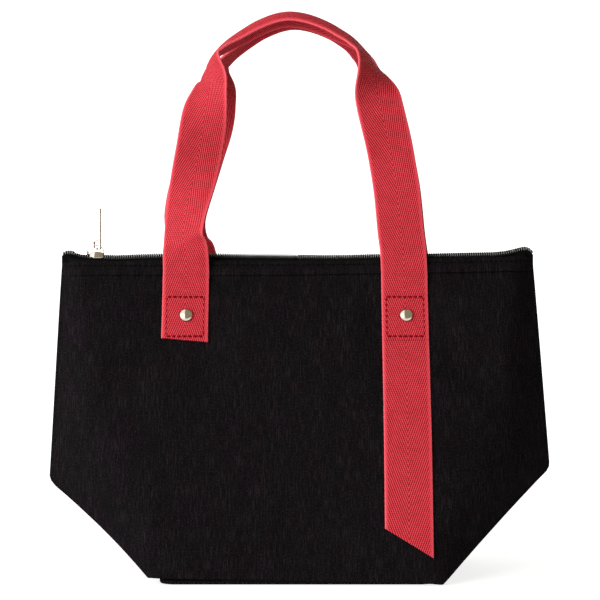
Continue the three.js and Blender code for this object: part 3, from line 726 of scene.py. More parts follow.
def gusset(end):
    d = gussetCut
    s = bagShape
    low = hemLow(end * s["hemHalf"])
    tip = s["earHeight"][end] - d["tipDrop"]
    points, uvs, faces, layers = [], [], [], []
    for skin in (0, 1):
        rows = []
        for j in range(d["rows"] + 1):
            t = j / d["rows"]
            z = mix(low, tip, t)
            ex, ez = edgeOut(end, z)
            bx = end * halfLength(end, z)
            depth = wallDepth(bx - ex * s["edgeRound"], z - ez * s["edgeRound"])
            wide = max(depth - s["edgeRound"] - d["gap"], d["leastHalf"])
            row = []
            for i in range(d["columns"] + 1):
                u = 2 * i / d["columns"] - 1
                y = wide * math.sin(u * math.pi / 2)
                off = -gussetSag(y / wide, math.pi * t) - skin * d["thick"]
                row.append((bx + ex * off, y * (1 - d["skinTaper"] * skin), z + ez * off))
                uvs.append((y, z * d["grain"]))
            rows.append(numbered(points, row))
        layers.append(rows)
    under = []
    for lift, inset in d["under"]:
        row = []
        for number in layers[0][0]:
            x, y, z = points[number]
            row.append((x - end * inset, y * (1 - inset * d["underTaper"]), z + lift))
            uvs.append((y, z * d["grain"] - inset))
        under.append(numbered(points, row))
    for rows in layers:
        for j in range(d["rows"]):
            strip(faces, rows[j], rows[j + 1])
    last = layers[0][0]
    for row in under:
        strip(faces, last, row)
        last = row
    strip(faces, last, layers[1][0])
    top = d["rows"]
    strip(faces, layers[0][top], layers[1][top])
    for side in (0, d["columns"]):
        strip(faces, [row[side] for row in layers[0]], [row[side] for row in layers[1]])
    obj = addPiece("gusset." + endNames[end], points, faces, canvas, uvs)
    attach(obj, "base")
    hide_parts(endNames[end] + "_gusset", endNames[end] + "_gusset_foam")


for end in (-1, 1):
    gusset(end)

# Side seams: the folded allowance that closes the joint between the two walls from inside
seamCut = {"near": 2.2, "far": 3.0, "half": 0.25, "lowDrop": 2.0, "top": 199.5, "rows": 40}


def sideSeam(end):
    d = seamCut
    points, uvs, faces, rings = [], [], [], []
    for j in range(d["rows"] + 1):
        z = mix(bagShape["earHeight"][end] - d["lowDrop"], d["top"], j / d["rows"])
        near, far = [end * (halfLength(end, z) - inset) for inset in (d["near"], d["far"])]
        ring = [(near, d["half"], z), (near, -d["half"], z), (far, -d["half"], z), (far, d["half"], z)]
        uvs.extend([(y, zz) for x, y, zz in ring])
        rings.append(numbered(points, ring))
    skinRings(faces, rings)
    obj = addPiece("sideSeam." + endNames[end], points, faces, canvas, uvs, soft=False)
    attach(obj, "base")


for end in (-1, 1):
    sideSeam(end)

# Base: a padded slab set back from the hem, whose cloth waves a little along its long sides
baseCut = {"levels": [(0.0, -1.6), (0.35, -0.5), (1.2, 0.0), (2.6, 0.0), (3.1, -0.6), (3.4, -3.0),
                      (6.6, -3.2)],
           "halfX": 86.0, "halfY": 57.0, "corner": 8.0, "steps": 8, "slack": 0.35, "slackFrom": 0.3,
           "slackTo": 3.2, "slackWaves": (0.09, 0.05)}


# rectangle with round corners, whose sides are split where they are longer than longest
def roundedLoop(halfX, halfY, radius, steps, splits=12, longest=20):
    loop = []
    corners = [(halfX, halfY, 0), (-halfX, halfY, 1), (-halfX, -halfY, 2), (halfX, -halfY, 3)]
    for cx, cy, quarter in corners:
        for k in range(steps + 1):
            angle = math.pi / 2 * (quarter + k / steps)
            loop.append((cx - math.copysign(radius, cx) + radius * math.cos(angle),
                         cy - math.copysign(radius, cy) + radius * math.sin(angle)))
    full = []
    for k, (x, y) in enumerate(loop):
        nx, ny = loop[(k + 1) % len(loop)]
        full.append((x, y))
        if math.hypot(nx - x, ny - y) > longest:
            full.extend([(mix(x, nx, q / splits), mix(y, ny, q / splits)) for q in range(1, splits)])
    return full


def paddedBase():
    d = baseCut
    along, across = d["slackWaves"]
    points, uvs, faces, rings = [], [], [], []
    for z, inset in d["levels"]:
        loose = d["slack"] if d["slackFrom"] < z < d["slackTo"] else 0.0
        ring = []
        for x, y in roundedLoop(d["halfX"] + inset, d["halfY"] + inset, d["corner"], d["steps"]):
            slack = loose * math.sin(x * along) * math.cos(y * across)
            ring.append((x, y + math.copysign(slack, y), z))
            uvs.append((x, y + z))
        rings.append(numbered(points, ring))
    skinRings(faces, rings)
    obj = addPiece("paddedBase", points, faces, canvas, uvs)
    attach(obj, "base")
    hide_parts("base_panel", "base_board", "base_foam")


paddedBase()
print("gussets and base made")

# Foil lining: wall halves, gusset triangles and the floor
liningCut = {"columns": 30, "rows": 34, "outer": 4.6, "thick": 0.6, "low": 8.0, "top": 195.4, "seamGap": 3.5,
             "leastOuter": 0.45, "leastInner": 0.15}
gussetLiningCut = {"rows": 20, "columns": 12, "low": 9.0, "tipDrop": 7.0, "sideGap": 6.0, "leastHalf": 0.4,
                   "skins": (3.3, 3.9)}
baseLiningCut = {"levels": [(6.9, 0.0), (7.2, 0.3), (7.5, 0.0)], "halfX": 88.0, "halfY": 54.0, "corner": 8.0,
                 "steps": 6}


# sheet of two skins; spot gives the outer point, the inner point and the grain at a row and a column
def thinSheet(name, rows, columns, spot, material):
    points, uvs, faces, layers = [], [], [], []
    grid = [[spot(j, i) for i in range(columns + 1)] for j in range(rows + 1)]
    for skin in (0, 1):
        layer = []
        for row in grid:
            layer.append(numbered(points, [place[skin] for place in row]))
            uvs.extend([place[2] for place in row])
        layers.append(layer)
    for layer in layers:
        for a, b in zip(layer, layer[1:]):
            strip(faces, a, b)
    for side in (0, -1):
        strip(faces, [row[side] for row in layers[0]], [row[side] for row in layers[1]])
        strip(faces, layers[0][side], layers[1][side])
    return addPiece(name, points, faces, material, uvs)


def liningHalf(wall, end):
    d = liningCut

    def spot(j, i):
        share = j / d["rows"]
        level = mix(d["low"], d["top"], share)
        wide = halfLength(end, level) - d["seamGap"]
        x = end * wide * (1 - i / d["columns"])
        z = level + bandRise(-wall * x) * share
        depth = swollen(wall, x, z) - d["outer"]
        outer = (x, wall * max(depth, d["leastOuter"]), z)
        inner = (x, wall * max(depth - d["thick"], d["leastInner"]), z)
        return outer, inner, (x, z)

    name = wallNames[wall] + "Lining." + endNames[end]
    obj = thinSheet(name, d["rows"], d["columns"], spot, foil)
    wallBlend(obj)
    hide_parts(wallNames[wall] + "_lining")


def gussetLining(end):
    d = gussetLiningCut
    tip = bagShape["earHeight"][end] - d["tipDrop"]

    def spot(j, i):
        z = mix(d["low"], tip, j / d["rows"])
        ex, ez = edgeOut(end, z)
        bx = end * halfLength(end, z)
        wide = max(foldDepth(end, z) - d["sideGap"], d["leastHalf"])
        y = wide * (2 * i / d["columns"] - 1)
        dip = gussetSag(y / wide, math.pi * j / d["rows"])
        outer, inner = [(bx - ex * (off + dip), y, z - ez * (off + dip)) for off in d["skins"]]
        return outer, inner, (y, z * gussetCut["grain"])

    obj = thinSheet("gussetLining." + endNames[end], d["rows"], d["columns"], spot, foil)
    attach(obj, "base")
    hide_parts(endNames[end] + "_gusset_lining")


def baseLining():
    d = baseLiningCut
    points, uvs, faces, rings = [], [], [], []
    for z, inset in d["levels"]:
        loop = roundedLoop(d["halfX"] + inset, d["halfY"] + inset, d["corner"], d["steps"])
        uvs.extend(loop)
        rings.append(numbered(points, [(x, y, z) for x, y in loop]))
    skinRings(faces, rings)
    obj = addPiece("baseLining", points, faces, foil, uvs)
    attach(obj, "base")
    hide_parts("base_lining")


for end in (-1, 1):
    for wall in (-1, 1):
        liningHalf(wall, end)
    gussetLining(end)
baseLining()
print("lining made")

# Rim band: canvas folded over the top edge of each wall, puckered by its stitch row
bandCut = {"columns": 110, "endGap": 0.3, "thick": 0.8, "leastDepth": 0.15, "pucker": 0.45,
           "puckerLength": 11.0, "secondShare": 0.6, "secondHalf": 6.7, "patchLength": 31.0,
           "fadeFrom": 150.0, "fadeRun": 20.0, "calmFrom": 193.0, "calmRun": 7.0, "lean": 0.25,
           "leanLength": 23.0, "leanTop": 193.4, "innerGrain": 20, "stitchHeight": 199.3,
           "stitchPitch": 3.3, "stitchLength": 2.4, "stitchRadius": 0.4, "stitchFrom": 2.0,
           "stitchStop": 3.0, "stitchWander": 0.12, "stitchOut": 0.85,
           "profile": [(0.9, 192.8), (1.15, 193.1), (1.25, 194.2), (1.2, 196.2), (1.2, 198.2), (0.7, 198.9),
                       (0.7, 199.6), (1.2, 200.3), (1.0, 201.2), (0.4, 201.9), (-0.6, 202.2), (-4.6, 202.1),
                       (-5.6, 201.6), (-6.0, 200.4), (-6.0, 196.0)]}


# two waves of near lengths, which come and go in patches and die out at the side seams
def bandPucker(x, wall):
    d = bandCut
    first = math.sin(x / d["puckerLength"] * 6.283 + wall * 1.3)
    second = d["secondShare"] * math.sin(x / d["secondHalf"] * 3.1 + 0.4)
    patch = 0.5 + 0.5 * math.sin(x / d["patchLength"] + wall)
    return d["pucker"] * (first + second) * smooth((d["fadeFrom"] - abs(x)) / d["fadeRun"]) * patch


def bandHalf(wall, end):
    d = bandCut
    skins = [d["profile"], []]
    for k, (out, z) in enumerate(d["profile"]):
        a = d["profile"][max(k - 1, 0)]
        b = d["profile"][min(k + 1, len(d["profile"]) - 1)]
        size = math.hypot(b[0] - a[0], b[1] - a[1])
        skins[1].append((out - d["thick"] * (b[1] - a[1]) / size, z + d["thick"] * (b[0] - a[0]) / size))
    loop = skins[0] + skins[1][::-1]
    points, uvs, faces, rings = [], [], [], []
    for i in range(d["columns"] + 1):
        x = end * (bagShape["mouthHalf"] - d["endGap"]) * (1 - i / d["columns"])
        ring = []
        for out, z in loop:
            depth = swollen(wall, x, min(z, bagShape["rimHeight"]))
            low = 1 - smooth((z - d["calmFrom"]) / d["calmRun"]) if out > 0 else 0
            wavy = bandPucker(x, wall) * low
            hem = z < d["leanTop"] and out > 0
            lean = d["lean"] * math.sin(x / d["leanLength"] + 1.0 + wall) if hem else 0
            y = wall * max(depth + out + wavy, d["leastDepth"])
            ring.append((x, y, z + lean + bandRise(-wall * x)))
            uvs.append((x, z + (0 if out > -1 else d["innerGrain"] - out)))
        rings.append(numbered(points, ring))
    skinRings(faces, rings, ends=(0,))
    obj = addPiece(wallNames[wall] + "RimBand." + endNames[end], points, faces, canvas, uvs)
    wallBlend(obj)
    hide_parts(wallNames[wall] + "_rim_band")


# One stitch: a thread that dips into the cloth at both ends
stitchForm = {"rings": 5, "sides": 6, "thin": 0.55, "swell": 0.45, "sunk": 0.6, "arch": 1.2}


def addStitch(points, faces, start, end, out, radius):
    d = stitchForm
    start, end, out = Vector(start), Vector(end), Vector(out).normalized()
    along = (end - start).normalized()
    across = along.cross(out)
    rows = []
    for k in range(d["rings"]):
        t = k / (d["rings"] - 1)
        lift = math.sin(math.pi * t)
        thick = radius * (d["thin"] + d["swell"] * lift)
        middle = start.lerp(end, t) + out * (lift - d["sunk"]) * radius * d["arch"]
        row = []
        for q in range(d["sides"]):
            angle = 2 * math.pi * q / d["sides"]
            row.append(tuple(middle + across * thick * math.cos(angle) + out * thick * math.sin(angle)))
        rows.append(numbered(points, row))
    skinRings(faces, rows)


def bandStitches(wall, end):
    d = bandCut
    points, faces = [], []
    x = d["stitchFrom"]
    while x < bagShape["mouthHalf"] - d["stitchStop"]:
        z = d["stitchHeight"] + dice.uniform(-d["stitchWander"], d["stitchWander"])
        ends = []
        for place in (x, x + d["stitchLength"]):
            y = wallFace(wall, end * place, z, d["stitchOut"])
            ends.append((end * place, y, z + bandRise(-wall * end * place)))
        addStitch(points, faces, ends[0], ends[1], (0, wall, 0), d["stitchRadius"])
        x += d["stitchPitch"]
    obj = addPiece(wallNames[wall] + "RimStitches." + endNames[end], points, faces, blackThread)
    wallBlend(obj)


for wall in (-1, 1):
    for end in (-1, 1):
        bandHalf(wall, end)
        bandStitches(wall, end)
print("rim bands made")

# Zip: tape from the rim up to the coil, two coil rows, and the ends that lift towards the side seams
zipCut = {"coilLow": 205.4, "coilHigh": 208.2, "rowMiddle": 1.5, "rowHalf": 1.38, "wire": 0.42, "pitch": 1.45,
          "half": 153.8, "turnSteps": 8, "wireSides": 5, "wireLean": 0.35, "rowShare": 0.9, "cordSteps": 60,
          "cordNear": 0.3, "cordFar": 2.5, "cordDrop": 1.5, "cordSink": 1.1, "tapeHalf": 150.0,
          "tapeColumns": 90, "tapeWave": 0.15, "waveLength": 9.0, "tapeGap": 2.3, "tapeIn": 0.25,
          "tapeUnder": 0.5, "rimLevel": 201.0, "rimSkin": 0.6, "rimOpen": 9.4, "leastOpen": 0.15,
          "tape": [(8.3, 199.5), (8.6, 201.2), (8.0, 202.3), (6.6, 203.2), (5.0, 203.7), (3.4, 204.0),
                   (2.2, 204.4)],
          "line": [(-155.2, -2.4), (-154.0, -0.4), (-152.5, 0.8), (-149.5, 1.1), (-146.0, 0.5),
                   (-141.0, -0.5), (-136.0, -1.3), (-127.0, -1.7), (-119.0, -2.0), (-107.0, -1.5),
                   (-92.0, -0.9), (-50.0, -0.85), (-31.0, -1.2), (-8.0, -1.4), (18.0, -1.9),
                   (32.0, -1.8), (48.0, -1.3), (88.0, -0.85),
                   (116.0, -0.2), (128.0, 0.0), (136.0, 0.75), (140.0, 1.6), (147.5, 3.4), (149.5, 3.6),
                   (151.5, 3.0), (153.2, 1.8), (154.4, -0.2), (155.4, -2.4)]}


# how far the coil runs above or below its straight line, through listed places
def zipLift(x):
    line = zipCut["line"]
    for (x0, z0), (x1, z1) in zip(line, line[1:]):
        if x <= x1:
            return mix(z0, z1, clamp((x - x0) / (x1 - x0)))
    return line[-1][1]


def zipTapeHalf(wall, end):
    d = zipCut
    folds = len(d["tape"]) - 1

    def spot(i, k):
        x = end * d["tapeHalf"] * (1 - i / d["tapeColumns"])
        squeeze = clamp((wallDepth(x, d["rimLevel"]) - d["rimSkin"]) / d["rimOpen"], d["leastOpen"])
        y, z = d["tape"][k]
        share = k / folds
        wave = d["tapeWave"] * math.sin(x / d["waveLength"] + wall) * math.sin(share * math.pi)
        yy = wall * max(y * mix(squeeze, 1, share), d["tapeGap"])
        zz = z + zipLift(x) * share + wave
        return (x, yy, zz), (x, yy - wall * d["tapeIn"], zz - d["tapeUnder"]), (x, y + z)

    name = wallNames[wall] + "ZipTape." + endNames[end]
    obj = thinSheet(name, d["tapeColumns"], folds, spot, zipTapeCloth)
    wallBlend(obj)
    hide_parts(wallNames[wall] + "_zip_tape")


# the crown of a turn is where the nylon's painted highlight goes
crownGrain = 1000  # addPiece makes the grain into metres, so the crown of a turn reads 1 there


def coilHalf(wall, end):
    d = zipCut
    points, faces, uvs = [], [], []
    turns = round(d["half"] / d["pitch"])
    pitch = d["half"] / turns
    steps, sides = d["turnSteps"], d["wireSides"]
    middleZ = (d["coilLow"] + d["coilHigh"]) / 2
    highHalf = (d["coilHigh"] - d["coilLow"]) / 2 - d["wire"]
    rings = []
    for k in range(turns * steps + 1):
        angle = 2 * math.pi * k / steps
        x = d["half"] - pitch * k / steps
        lean = d["wireLean"] * math.cos(angle)
        y = wall * d["rowMiddle"] + wall * d["rowHalf"] * math.cos(angle) * d["rowShare"]
        middle = Vector((end * x + lean, y, middleZ + highHalf * math.sin(angle) + zipLift(end * x)))
        out = Vector((0, wall * math.cos(angle), math.sin(angle)))
        row = []
        for q in range(sides):
            turn = 2 * math.pi * q / sides
            row.append(tuple(middle + out * d["wire"] * math.cos(turn)
                             + Vector((1, 0, 0)) * d["wire"] * math.sin(turn)))
        rings.append(numbered(points, row))
        uvs.extend([(crownGrain * math.cos(angle) * (q == 0), x) for q in range(sides)])
    skinRings(faces, rings)
    # the cord that the coil is wound round
    cord = []
    near, far = wall * d["cordNear"], wall * d["cordFar"]
    for k in range(d["cordSteps"] + 1):
        x = end * d["half"] * (1 - k / d["cordSteps"])
        low = d["coilLow"] - d["cordDrop"] + zipLift(x)
        high = d["coilHigh"] - d["cordSink"] + zipLift(x)
        uvs.extend([(-crownGrain, x)] * 4)
        cord.append(numbered(points, [(x, near, low), (x, far, low), (x, far, high), (x, near, high)]))
    skinRings(faces, cord)
    obj = addPiece(wallNames[wall] + "ZipCoil." + endNames[end], points, faces, nylon, uvs)
    wallBlend(obj)
    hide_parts(wallNames[wall] + "_zip_chain")


for wall in (-1, 1):
    for end in (-1, 1):
        zipTapeHalf(wall, end)
        coilHalf(wall, end)

# Folded tape ends at the side seams: they carry the coil, one higher than the other
endCut = {"inner": 143.0, "outer": 154.7, "low": 200.5, "top": 206.9, "halfThick": 2.6, "steps": 12,
          "levels": [(-1.0, 0.8), (-0.94, 0.92), (-0.7, 0.98), (-0.3, 1.0), (-0.06, 1.0), (0.0, 0.94),
                     (0.06, 1.0), (0.3, 1.0), (0.7, 0.98), (0.94, 0.92), (1.0, 0.8)]}


def zipEnd(end):
    d = endCut
    outline = [(d["inner"], d["low"]), (d["outer"], d["low"])]
    for k in range(d["steps"] + 1):
        x = mix(d["outer"], d["inner"], k / d["steps"])
        outline.append((x, d["top"] + zipLift(end * x)))
    cx = sum(p[0] for p in outline) / len(outline)
    cz = sum(p[1] for p in outline) / len(outline)
    points, uvs, faces, rings = [], [], [], []
    for y, shrink in d["levels"]:
        ring = [(end * mix(cx, x, shrink), y * d["halfThick"], mix(cz, z, shrink)) for x, z in outline]
        uvs.extend([(p[0], p[2]) for p in ring])
        rings.append(numbered(points, ring))
    skinRings(faces, rings)
    obj = addPiece("zipEnd." + endNames[end], points, faces, zipTapeCloth, uvs)
    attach(obj, "base")
    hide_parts(endNames[end] + "_zip_end")


for end in (-1, 1):
    zipEnd(end)
print("zip tape and coil made")

# Webbing handles: sewn flat on the wall, then a route of listed points through the air.
# Each point is x, y, z, how far the strap has turned its face upwards and how far it is folded, in degrees.
handleCut = {"width": 30.0, "thick": 1.6, "legX": 70.6, "anchorTop": 181.0, "gap": 0.3, "bandOver": 1.05,
             "bandRun": 9.0, "slant": 1.3, "frontShift": -1.5, "backRaise": 3.2, "raiseFrom": 330.0,
             "raiseRun": 25.0, "backShift": 3.0, "backLean": 5.5, "leanFrom": 205.0, "leanRun": 28.0,
             "leanTop": 315.0, "leanFade": 75.0, "perSpan": 4, "flatSteps": 16, "edgeSteps": 5,
             "sewnRows": [151.0, 155.0, 160.0, 165.0, 170.0, 175.0, 180.0, 185.0, 190.0, 196.0],
             "route": [
                 (-72.6, -15.2, 209.6, 10, 0), (-73.8, -15.0, 219, 30, 0), (-71.9, -13.6, 235, 25, 0),
                 (-67.9, -14.0, 253, 9, 0), (-63.8, -17.5, 272, -6, 0), (-61.2, -21.0, 286, 0, 0),
                 (-59.2, -22.8, 298.6, 17, 0), (-56.7, -23.0, 309.5, 37, 2), (-54.8, -22.6, 317.9, 50, 4),
                 (-55.1, -21.8, 323.8, 60, 5), (-55.4, -20.8, 329.4, 72, 8), (-54.4, -19.4, 333.6, 80, 14),
                 (-50.2, -17.6, 339.2, 84, 40), (-44.0, -16.0, 345.0, 87, 76), (-36.0, -15.0, 350.6, 90, 104),
                 (-27.0, -14.4, 356.2, 90, 114), (-15.0, -14.0, 361.1, 90, 118),
                 (-4.0, -14.0, 362.6, 90, 118), (8.0, -14.0, 360.6, 90, 118),
                 (20.0, -14.2, 355.8, 90, 112), (28.0, -14.4, 351.2, 88, 100),
                 (35.0, -15.0, 346.6, 84, 80), (40.3, -16.5, 341.2, 79, 55), (43.9, -18.6, 336.0, 74, 30),
                 (46.0, -20.6, 330.0, 67, 12), (47.4, -21.6, 324.0, 56, 6), (48.8, -22.0, 318.0, 40, 4),
                 (50.4, -22.4, 311.5, 21, 2), (52.2, -22.6, 304.5, 6, 0), (55.0, -21.6, 293, 0, 0),
                 (58.4, -18.5, 280, -3, 0), (61.0, -15.5, 268, -6, 0), (64.4, -13.6, 247, -4, 0),
                 (66.8, -13.2, 222, 0, 0), (68.4, -13.2, 209.6, 0, 0)]}


def strapSection():
    d = handleCut
    half, edge = d["width"] / 2, d["thick"] / 2
    flat, turns = d["flatSteps"], d["edgeSteps"]
    loop = []
    for side in (1, -1):
        for k in range(flat + 1):
            loop.append((side * mix(-half + edge, half - edge, k / flat), side * edge))
        for k in range(1, turns):
            angle = side * math.pi / 2 - math.pi * k / turns
            loop.append((side * (half - edge) + edge * math.cos(angle), edge * math.sin(angle)))
    return loop


# smooth curve through rows of numbers, every row met
def curveThrough(rows, perSpan):
    made = []
    for k in range(len(rows) - 1):
        a, b, c, d = rows[max(k - 1, 0)], rows[k], rows[k + 1], rows[min(k + 2, len(rows) - 1)]
        for q in range(perSpan):
            t = q / perSpan
            made.append([0.5 * (2 * b[n] + (c[n] - a[n]) * t + (2 * a[n] - 5 * b[n] + 4 * c[n] - d[n]) * t * t
                                + (3 * b[n] - a[n] - 3 * c[n] + d[n]) * t ** 3) for n in range(len(b))])
    return made + [list(rows[-1])]


def sewnLeg(end, shift):
    d = handleCut
    rows = []
    for z in d["sewnRows"]:
        rest = mix(d["gap"] + d["thick"] / 2, d["gap"] * 2 + d["bandOver"] + d["thick"] / 2,
                   smooth((z - d["anchorTop"]) / d["bandRun"]))
        rows.append((end * d["legX"] + shift, -wallDepth(d["legX"], z) - rest, z, 0, 0))
    return rows


# cut ends of a strap on points of their own, so that its faces stay flat up to the cut
def closeEnds(points, uvs, faces, rings):
    for ring in (rings[0], rings[-1]):
        uvs.extend([uvs[n] for n in ring])
        faces.append(tuple(numbered(points, [points[n] for n in ring])))


# makes a handle and gives the length of its webbing
def handle(wall):
    d = handleCut
    raised, shifted = (0, 0) if wall < 0 else (d["backRaise"], d["backShift"])
    sewn = d["frontShift"] if wall < 0 else 0.0
    path = curveThrough(sewnLeg(-1, sewn) + d["route"] + sewnLeg(1, sewn)[::-1], d["perSpan"])
    section = strapSection()
    cutRows = 2 * d["perSpan"]  # rows over which the slanted cut straightens
    points, uvs, faces, rings = [], [], [], []
    run = 0.0
    for k, (x, y, z, turned, folded) in enumerate(path):
        at = Vector((x, y, z))
        before, after = Vector(path[max(k - 1, 0)][:3]), Vector(path[min(k + 1, len(path) - 1)][:3])
        along = (after - before).normalized()
        run += (at - before).length if k else 0.0
        at.z += raised * smooth((z - d["raiseFrom"]) / d["raiseRun"])
        if wall > 0 and x < 0:
            leaning = smooth((z - d["leanFrom"]) / d["leanRun"])
            at.x -= d["backLean"] * leaning * smooth((d["leanTop"] - z) / d["leanFade"])
        inward = Vector((along.z, 0, -along.x)).normalized()
        angle = math.radians(turned)
        across = inward * math.cos(angle) + Vector((0, -1, 0)) * math.sin(angle)
        out = across.cross(along).normalized()
        across = along.cross(out).normalized()
        radius = d["width"] / max(math.radians(folded), 1e-3)
        ring = []
        for a, b in section:
            lean = a / radius
            place = at + across * radius * math.sin(lean) + out * radius * (math.cos(lean) - 1)
            place = place + (out * math.cos(lean) + across * math.sin(lean)) * b
            if k < cutRows and wall < 0:
                place.z -= d["slant"] * a / (d["width"] / 2) * (1 - k / cutRows)
            ring.append((place.x + shifted, -wall * place.y, place.z))
            uvs.append((a, run))
        rings.append(numbered(points, ring))
    skinRings(faces, rings, ends=())
    closeEnds(points, uvs, faces, rings)
    name = wallNames[wall]
    obj = addPiece(name + "HandleWebbing", points, faces, webbing, uvs)
    y = wall * 0.01913
    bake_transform(obj)
    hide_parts(name + "_handle", name + "_left_anchor", name + "_right_anchor")
    return run


strapRun = {}
for wall in (-1, 1):
    strapRun[wall] = handle(wall)

# Loose strap end below the right front anchor, cut on a slant
tailCut = {"top": 151.0, "shortEnd": 35.5, "longEnd": 17.5, "steps": 60}


def looseStrap():
    d = handleCut
    section = strapSection()
    points, uvs, faces, rings = [], [], [], []
    for k in range(tailCut["steps"] + 1):
        ring = []
        for a, b in section:
            x = d["legX"] + d["frontShift"] + a
            low = mix(tailCut["shortEnd"], tailCut["longEnd"], (a + d["width"] / 2) / d["width"])
            z = mix(tailCut["top"], low, k / tailCut["steps"])
            away = d["gap"] + d["thick"] / 2 + b
            ring.append((x, wallFace(-1, d["legX"], z, away), z))
            uvs.append((-a, strapRun[-1] + tailCut["top"] - z))
        rings.append(numbered(points, ring))
    skinRings(faces, rings, ends=())
    closeEnds(points, uvs, faces, rings)
    obj = addPiece("looseStrapEnd", points, faces, webbing, uvs)
    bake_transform(obj)
    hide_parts("strap_tail")


looseStrap()
print("webbing made")

# Box stitching on the anchors, in thick dark red thread
boxStitch = {"halfWidth": 11.9, "low": 153.4, "high": 178.6, "pitch": 3.4, "length": 3.1, "radius": 0.72,
             "sideShare": 0.55, "sideLift": 0.3, "sink": 0.05}


def anchorStitches(wall, x0):
    d = boxStitch
    points, faces = [], []
    face = handleCut["gap"] + handleCut["thick"] - d["sink"]

    def spot(x, z):
        return (x, wall * (wallDepth(x, z) + face), z)

    for z in (d["low"], d["high"]):
        count = round(2 * d["halfWidth"] / d["pitch"])
        for k in range(count):
            a = x0 - d["halfWidth"] + 2 * d["halfWidth"] * k / count
            addStitch(points, faces, spot(a, z), spot(a + d["length"], z), (0, wall, 0), d["radius"])
    for side in (-1, 1):
        count = round((d["high"] - d["low"]) / d["pitch"])
        for k in range(count):
            z = mix(d["low"], d["high"], k / count) + d["sideLift"]
            x = x0 + side * d["halfWidth"]
            addStitch(points, faces, spot(x, z), spot(x, z + d["length"]), (0, wall, 0),
                      d["radius"] * d["sideShare"])
    side = "Left" if x0 < 0 else "Right"
    obj = addPiece(wallNames[wall] + "BoxStitches" + side, points, faces, redThread)
    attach(obj, wallNames[wall] + "_wall")


# Cap rivets: a domed cap with a rolled rim
rivetCut = {"height": 166.8, "frontShift": 0.7, "tip": 0.02, "segments": 40,
            "profile": [(0.0, 2.75), (0.9, 2.72), (1.8, 2.6), (2.6, 2.38), (3.3, 2.05), (3.85, 1.6),
                        (4.2, 1.1), (4.36, 0.7), (4.3, 0.4), (4.05, 0.3), (3.6, 0.3)]}


def rivet(wall, x, node):
    d = rivetCut
    slope = middleDepth(d["height"] + 0.5) - middleDepth(d["height"] - 0.5)
    out = Vector((0, wall, -slope)).normalized()
    side = Vector((1, 0, 0))
    up = out.cross(side).normalized()
    face = wallDepth(x, d["height"]) + handleCut["gap"] + handleCut["thick"]
    foot = Vector((x, wall * face, d["height"]))
    points, faces, rings = [], [], []
    for radius, high in d["profile"]:
        ring = []
        for k in range(d["segments"]):
            angle = 2 * math.pi * k / d["segments"]
            spoke = side * math.cos(angle) + up * math.sin(angle)
            ring.append(tuple(foot + spoke * max(radius, d["tip"]) + out * high))
        rings.append(numbered(points, ring))
    skinRings(faces, rings)
    obj = addPiece(node.replace("_", "."), points, faces, nickel)
    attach(obj, wallNames[wall] + "_wall")
    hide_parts(node)


for wall in (-1, 1):
    shift = handleCut["frontShift"] if wall < 0 else handleCut["backShift"]
    for end in (-1, 1):
        x = end * handleCut["legX"] + shift
        anchorStitches(wall, x)
        side = wallNames[wall] + "_" + endNames[end]
        rivet(wall, x + (rivetCut["frontShift"] if wall < 0 else 0.0), side + "_rivet_cap")
        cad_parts[side + "_rivet_post"].data.materials[0] = nickel
print("stitches and rivets made")

# Slider: a channel bent over both coil rows, and a leaf-shaped bail that holds the pull
sliderCut = {"middle": -131.75, "half": 4.3, "top": 208.3, "low": 204.1, "wide": 4.1, "sheet": 0.8,
             "round": 1.3, "innerBend": 0.7, "crown": 0.7, "noseIn": 0.34, "noseFrom": 0.4, "tailIn": 0.2,
             "tailFrom": 0.6, "steps": 14, "cornerSteps": 5, "bevel": 0.2, "bailSpan": 5, "bailSides": 12,
             "bail": [(-6.0, 206.5), (-5.7, 207.8), (-4.6, 209.9), (-2.4, 211.9), (0.2, 212.4), (2.6, 211.5),
                      (4.2, 209.6), (4.6, 206.8)], "bailHalf": 0.6, "bailSheet": 0.25}


def softenEdges(obj, width):
    soften = obj.modifiers.new("softEdges", "BEVEL")
    soften.width = width * mm
    soften.segments = 2
    soften.limit_method = "ANGLE"


